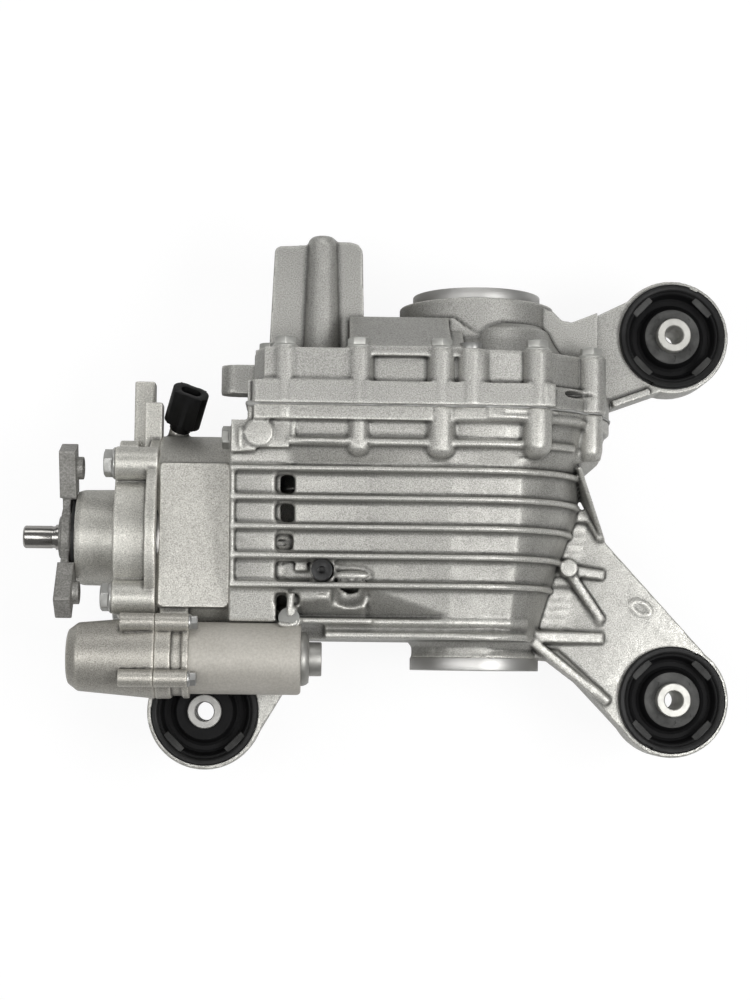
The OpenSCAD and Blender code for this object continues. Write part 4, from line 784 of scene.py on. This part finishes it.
rubber = moulded_rubber("bushing_rubber", (0.003, 0.003, 0.0033), 0.7)
shell_black = moulded_rubber("shell_black", (0.008, 0.008, 0.008), 0.46)
plate_rubber = moulded_rubber("plate_rubber", (0.06, 0.06, 0.058), 0.6)
pad_rubber = moulded_rubber("pad_rubber", (0.035, 0.035, 0.034), 0.5)
sleeve_zinc = bright_zinc("sleeve_zinc", (0.5, 0.495, 0.465), 0.5)
sleeve_grey = bright_zinc("front_sleeve_zinc", (0.36, 0.355, 0.34), 0.52)
# Each bushing's name, place, half length of its sleeve, and turn of its notches in degrees
bushings = (("cover", 404.3, 138.5, 23, 66), ("rear", 403.8, -103.2, 23, 66),
            ("front", 97, -113.8, 18, 172))
for spot, x, y, half, turn_by in bushings:
    centre = Matrix.Translation((x / 1000, y / 1000, 0))
    shell = turned_shape("%s_bushing_shell" % spot, [
        (0.0305, -0.018), (0.0333, -0.018), (0.0335, -0.0175), (0.0335, 0.0121), (0.0350, 0.0121),
        (0.0353, 0.0125), (0.0353, 0.0155), (0.0350, 0.0164), (0.0342, 0.017), (0.0322, 0.017),
        (0.0312, 0.0166), (0.0305, 0.0158)], 128)
    cuts = []
    for degrees in (turn_by, turn_by + 177):
        angle = math.radians(degrees)
        bpy.ops.object.select_all(action="DESELECT")
        bpy.ops.mesh.primitive_cube_add(size=1, location=(0, 0, 0))
        tool = bpy.context.object
        tool.data.transform(Matrix.Rotation(angle, 4, "Z") @ Matrix.Translation((0.036, 0, 0.016))
                            @ Matrix.Diagonal((0.0048, 0.0056, 0.0072, 1)))
        cuts.append(tool)
    for tool in cuts:
        pick(shell)
        cut = shell.modifiers.new("cut", "BOOLEAN")
        cut.operation = "DIFFERENCE"
        cut.solver = "EXACT"
        cut.object = tool
        bpy.ops.object.modifier_apply(modifier="cut")
        bpy.data.objects.remove(tool)
    shell.data.transform(centre)
    shell.data.materials.append(shell_black)
    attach(shell, "casing")
    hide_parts("bush_shells")
    body = turned_shape("%s_bushing_rubber" % spot, [
        (0.01115, -0.013), (0.0188, -0.013), (0.0198, -0.006), (0.027, -0.006), (0.0285, -0.0148),
        (0.0304, -0.0148), (0.0304, 0.0148), (0.0292, 0.0148), (0.0285, 0.0140), (0.0278, 0.0095),
        (0.0268, 0.0066), (0.0252, 0.0056), (0.0226, 0.0056), (0.0208, 0.0068), (0.0198, 0.0100),
        (0.0190, 0.0132), (0.0183, 0.0139), (0.0115, 0.0140), (0.01115, 0.0136)], 112)
    pads = []
    for quarter in range(4):
        angle = math.radians(45 + 90 * quarter)
        bpy.ops.object.select_all(action="DESELECT")
        bpy.ops.mesh.primitive_cube_add(size=1, location=(0, 0, 0))
        pad = bpy.context.object
        lean = Matrix.Rotation(math.radians(-14), 4, "Y")
        pad.data.transform(Matrix.Rotation(angle, 4, "Z") @ Matrix.Translation((0.0284, 0, 0.0135))
                           @ lean @ Matrix.Diagonal((0.0046, 0.0155, 0.0028, 1)))
        pads.append(pad)
    for pad in pads:
        pick(pad)
        round_off = pad.modifiers.new("round", "BEVEL")
        round_off.width = 0.0005
        round_off.segments = 2
        bpy.ops.object.modifier_apply(modifier="round")
        pad.data.materials.append(pad_rubber)
    body.data.materials.append(rubber)
    joined(body, pads)
    body.data.transform(centre)
    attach(body, "casing")
    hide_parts("bush_rubbers")
    if spot != "front":
        plate = turned_shape("%s_bushing_plate" % spot, [
            (0.01125, 0.0139), (0.0180, 0.0139), (0.0183, 0.0142), (0.0181, 0.0147), (0.0175, 0.0149),
            (0.0117, 0.0149), (0.01125, 0.0147)], 96)
        for degrees in (180, 223, 270, 317, 47, 134):
            angle = math.radians(degrees)
            bpy.ops.object.select_all(action="DESELECT")
            bpy.ops.mesh.primitive_cylinder_add(
                vertices=20, radius=0.0024 if degrees in (180, 270) else 0.0018, depth=0.002,
                location=(0, 0, 0))
            tool = bpy.context.object
            pit_place = (0.0147 * math.cos(angle), 0.0147 * math.sin(angle), 0.0153)
            tool.data.transform(Matrix.Translation(pit_place))
            pick(plate)
            cut = plate.modifiers.new("pit", "BOOLEAN")
            cut.operation = "DIFFERENCE"
            cut.solver = "EXACT"
            cut.object = tool
            bpy.ops.object.modifier_apply(modifier="pit")
            bpy.data.objects.remove(tool)
        plate.data.transform(centre)
        plate.data.materials.append(plate_rubber)
        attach(plate, "casing")
    top = half / 1000
    sleeve = turned_shape("%s_bushing_sleeve" % spot, [
        (0.0061, 0.0006 - top), (0.0067, -top), (0.0106, -top), (0.0111, 0.0005 - top),
        (0.0111, top - 0.0005), (0.0106, top), (0.0067, top), (0.0061, top - 0.0006)], 96)
    sleeve.data.transform(centre)
    sleeve.data.materials.append(sleeve_grey if spot == "front" else sleeve_zinc)
    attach(sleeve, "casing")
    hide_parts("%s_bush_sleeve" % spot)


# Pump motor: a deep-drawn steel can with a matt zinc coat and a rounded end, and its turned end
# cap with a stub. The coat is warm grey and very even.
can = turned_shape("motor_can_shell", [
    (0.0209, 0.0890), (0.0229, 0.0890), (0.0229, 0.1569), (0.0226, 0.1582), (0.0219, 0.1591),
    (0.0208, 0.1595), (0.0120, 0.1595), (0.0120, 0.1576), (0.0205, 0.1576), (0.0209, 0.1572)], 112)
along_x = Matrix.Rotation(math.radians(90), 4, "Y")
place_motor = Matrix.Translation((0, pump_y / 1000, pump_z / 1000)) @ along_x
can.data.transform(place_motor)
coat, tree, shader, place = start_material("matt_zinc_coat")
cloud = ramp(tree, noise(tree, place, 45, 4), 0.3, 0.72, (0.44, 0.42, 0.38), (0.49, 0.47, 0.43))
speck = ramp(tree, noise(tree, place, 650, 2, 0.7), 0.36, 0.66, (0.8, 0.8, 0.79), (1.0, 1.0, 1.0))
tree.links.new(blended(tree, "MULTIPLY", 0.8, cloud, speck), shader.inputs["Base Color"])
shader.inputs["Metallic"].default_value = 0.35
shader.inputs["Roughness"].default_value = 0.62
bumped(tree, shader, noise(tree, place, 800, 2), 0.15, 0.0002)
can.data.materials.append(coat)
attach(can, "casing")
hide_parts("motor_can")
cap = turned_shape("motor_end_cap_cover", [
    (0.0041, 0.1566), (0.0118, 0.1576), (0.0118, 0.1596), (0.0172, 0.1596), (0.0172, 0.1604),
    (0.0169, 0.1618), (0.0161, 0.1634), (0.0150, 0.1645), (0.0109, 0.1648), (0.0109, 0.1719),
    (0.0106, 0.1725), (0.0099, 0.1727), (0, 0.1727), (0, 0.1676), (0.0041, 0.1676)], 96)
cap.data.transform(place_motor)
cap.data.materials.append(bright_zinc("end_cap_zinc", (0.36, 0.355, 0.335), 0.45))
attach(cap, "casing")
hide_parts("motor_end_cap")


# Seal carriers: aluminium rings turned bright on the lathe, with fine tool marks. They sit around
# the two outputs, in the housing's lower neck and in the cover's round boss.
turned, tree, shader, place = start_material("turned_alloy")
axis_place = tree.nodes.new("ShaderNodeVectorMath")
axis_place.operation = "SUBTRACT"
axis_place.inputs[1].default_value = (axle_x / 1000, 0, 0)
tree.links.new(place, axis_place.inputs[0])
tool_marks = tree.nodes.new("ShaderNodeTexWave")
tool_marks.bands_direction = "Y"
tool_marks.inputs["Scale"].default_value = 520
tool_marks.inputs["Distortion"].default_value = 2.0
tree.links.new(axis_place.outputs[0], tool_marks.inputs["Vector"])
tree.links.new(ramp(tree, tool_marks.outputs["Fac"], 0.1, 0.9, (0.47, 0.465, 0.45), (0.58, 0.575, 0.56)),
               shader.inputs["Base Color"])
shader.inputs["Metallic"].default_value = 1.0
shader.inputs["Roughness"].default_value = 0.48
bumped(tree, shader, tool_marks.outputs["Fac"], 0.12, 0.0001)
carriers = copy_of("seal_carriers", "seal_carrier_rings")
pick(carriers)
edge_cut = carriers.modifiers.new("edge", "BEVEL")
edge_cut.width = 0.0005
edge_cut.segments = 2
edge_cut.limit_method = "ANGLE"
edge_cut.angle_limit = math.radians(40)
bpy.ops.object.modifier_apply(modifier="edge")
bpy.ops.object.shade_smooth_by_angle(angle=math.radians(30))
carriers.data.materials.append(turned)
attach(carriers, "casing")
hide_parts("seal_carriers")


# Two-pin connector: a black moulded nylon body with rounded edges and two sockets in its oval
# face. It stands on a stiff neck on the coupling housing.
plug = copy_of("connector", "connector_housing")
edge_cut = plug.modifiers.new("edge", "BEVEL")
edge_cut.width = 0.0006
edge_cut.segments = 2
edge_cut.limit_method = "ANGLE"
edge_cut.angle_limit = math.radians(50)
bpy.ops.object.modifier_apply(modifier="edge")
bpy.ops.object.shade_smooth_by_angle(angle=math.radians(35))
plug.data.materials.append(moulded_rubber("black_nylon", (0.004, 0.004, 0.004), 0.4))
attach(plug, "casing")
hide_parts("connector")


# Gasket: a bead of grey sealant between the housing and the side cover. It was laid wet and
# squeezed out a little along the joint, so its edge is uneven.
sealant, tree, shader, place = start_material("sealant_grey")
tree.links.new(ramp(tree, noise(tree, place, 220, 3), 0.3, 0.7, (0.22, 0.22, 0.21), (0.34, 0.34, 0.33)),
               shader.inputs["Base Color"])
shader.inputs["Roughness"].default_value = 0.48
bumped(tree, shader, noise(tree, place, 420, 3), 0.3, 0.0004)

bead_line = []
for step in range(140):
    bead_line.append((0.124 + 0.150 * step / 140, 0.0866))
for step in range(160):
    angle = math.radians(90 - 180 * step / 160)
    bead_line.append((0.274 + 0.0896 * math.cos(angle), 0.0896 * math.sin(angle)))
for step in range(140):
    bead_line.append((0.274 - 0.150 * step / 140, -0.0866))
for step in range(100):
    bead_line.append((0.1236, -0.0866 + 0.1732 * step / 100))
rng = random.Random(7)
swell = [0.0]
for step in range(len(bead_line)):
    swell.append(0.82 * swell[-1] + rng.uniform(-0.00022, 0.00022))
points = []
faces = []
count = len(bead_line)
ring = 8
for number, (x, z) in enumerate(bead_line):
    before = bead_line[number - 1]
    after = bead_line[(number + 1) % count]
    run = Vector((after[0] - before[0], after[1] - before[1])).normalized()
    out = Vector((-run.y, run.x))
    thick = 0.00055 + abs(swell[number]) * 0.7
    if x < 0.146 and z > 0.05:
        thick += 0.0012 * max(0.0, math.sin((x - 0.121) * 260))
    for spoke in range(ring):
        angle = 2 * math.pi * spoke / ring
        away = math.cos(angle) * thick - 0.0004
        points.append((x + out.x * away, 0.0803 + swell[number] * 0.8 + math.sin(angle) * thick * 1.1,
                       z + out.y * away))
for number in range(count):
    for spoke in range(ring):
        a = number * ring + spoke
        b = number * ring + (spoke + 1) % ring
        c = (number + 1) % count * ring + (spoke + 1) % ring
        d = (number + 1) % count * ring + spoke
        faces.append((a, b, c, d))
bead_mesh = bpy.data.meshes.new("sealant_bead")
bead_mesh.from_pydata(points, [], faces)
bead = bpy.data.objects.new("sealant_bead", bead_mesh)
scene.collection.objects.link(bead)
pick(bead)
bpy.ops.object.mode_set(mode="EDIT")
bpy.ops.mesh.select_all(action="SELECT")
bpy.ops.mesh.normals_make_consistent(inside=False)
bpy.ops.object.mode_set(mode="OBJECT")
bpy.ops.object.shade_smooth()
bead.data.materials.append(sealant)
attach(bead, "casing")


# Plugs: steel plugs screwed into their bosses to close the oil's openings. The level plug is
# coated black and has a hexagon socket, and the drain and filler plugs are zinc coated and grey.
plug_black = moulded_rubber("plug_black", (0.02, 0.02, 0.02), 0.34)
# The drain plug's head is low enough for the motor to hide its lower half
drain_low = 0.058
drain_zinc = bright_zinc("drain_zinc", (0.2, 0.2, 0.19), 0.5)
filler_zinc = bright_zinc("filler_zinc", (0.3, 0.3, 0.29), 0.4)
plug_coats = (("level_plug", plug_black), ("drain_plug", drain_zinc), ("filler_plug", filler_zinc))
for node, coat in plug_coats:
    piece = copy_of(node, node + "_head")
    if node == "drain_plug":
        for vertex in piece.data.vertices:
            vertex.co.z = min(vertex.co.z, drain_low + 0.3 * (vertex.co.z - drain_low))
    edge_cut = piece.modifiers.new("edge", "BEVEL")
    edge_cut.width = 0.0006
    edge_cut.segments = 2
    edge_cut.limit_method = "ANGLE"
    edge_cut.angle_limit = math.radians(50)
    bpy.ops.object.modifier_apply(modifier="edge")
    bpy.ops.object.shade_smooth_by_angle(angle=math.radians(35))
    piece.data.materials.append(coat)
    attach(piece, "casing")
    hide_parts(node)


# Parts inside the castings, which keep their solids: gears, shafts and bearings in hardened and
# ground steel, an iron differential case, friction plates, magnets, seals and contact pins.
def machined(name, tone, rough, metal, grain_scale, bump):
    made, tree, shader, place = start_material(name)
    darker = [v * 0.85 for v in tone]
    paler = [v * 1.1 for v in tone]
    cloud = ramp(tree, noise(tree, place, grain_scale, 4), 0.3, 0.7, darker, paler)
    tree.links.new(cloud, shader.inputs["Base Color"])
    edge = tree.nodes.new("ShaderNodeMapRange")
    edge.inputs["To Min"].default_value = rough - 0.07
    edge.inputs["To Max"].default_value = rough + 0.09
    tree.links.new(noise(tree, place, grain_scale * 5, 3), edge.inputs["Value"])
    tree.links.new(edge.outputs["Result"], shader.inputs["Roughness"])
    shader.inputs["Metallic"].default_value = metal
    bumped(tree, shader, noise(tree, place, grain_scale * 8, 2), bump, 0.0002)
    return made


inner = {
    machined("gear_steel", (0.32, 0.31, 0.30), 0.3, 1.0, 80, 0.12): (
        "drive_pinion", "ring_gear", "spider_gear_front", "spider_gear_rear", "side_gear_upper",
        "side_gear_lower"),
    machined("bearing_steel", (0.50, 0.50, 0.50), 0.18, 1.0, 60, 0.05): (
        "input_bearing_outer", "input_bearing_inner", "input_bearing_balls", "tail_bearing_cup",
        "tail_bearing_cone", "tail_bearing_rollers", "head_bearing_cup", "head_bearing_cone",
        "head_bearing_rollers", "case_bearing_cups", "case_bearing_cones", "case_bearing_rollers"),
    machined("shaft_steel", (0.42, 0.41, 0.40), 0.3, 1.0, 120, 0.1): (
        "input_shaft", "clutch_drum", "clutch_hub", "clutch_piston", "outer_plates", "pinion_nut",
        "pinion_spacer", "cross_shaft", "motor_armature", "ring_gear_bolts"),
    machined("case_iron", (0.20, 0.195, 0.19), 0.5, 0.7, 90, 0.4): ("diff_case",),
    machined("friction_lining", (0.10, 0.075, 0.05), 0.75, 0.0, 300, 0.5): ("inner_plates",),
    machined("magnet_ceramic", (0.06, 0.06, 0.065), 0.6, 0.2, 200, 0.2): ("motor_magnets",),
    machined("contact_tin", (0.62, 0.60, 0.54), 0.25, 1.0, 200, 0.05): ("connector_pins",),
    moulded_rubber("seal_rubber", (0.012, 0.012, 0.012), 0.45): (
        "input_seal", "pinion_seal", "output_seals"),
    sealant: ("cover_gasket",),
}
for finish, names in inner.items():
    for node in names:
        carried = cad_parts[node]
        carried.data.materials.clear()
        carried.data.materials.append(finish)


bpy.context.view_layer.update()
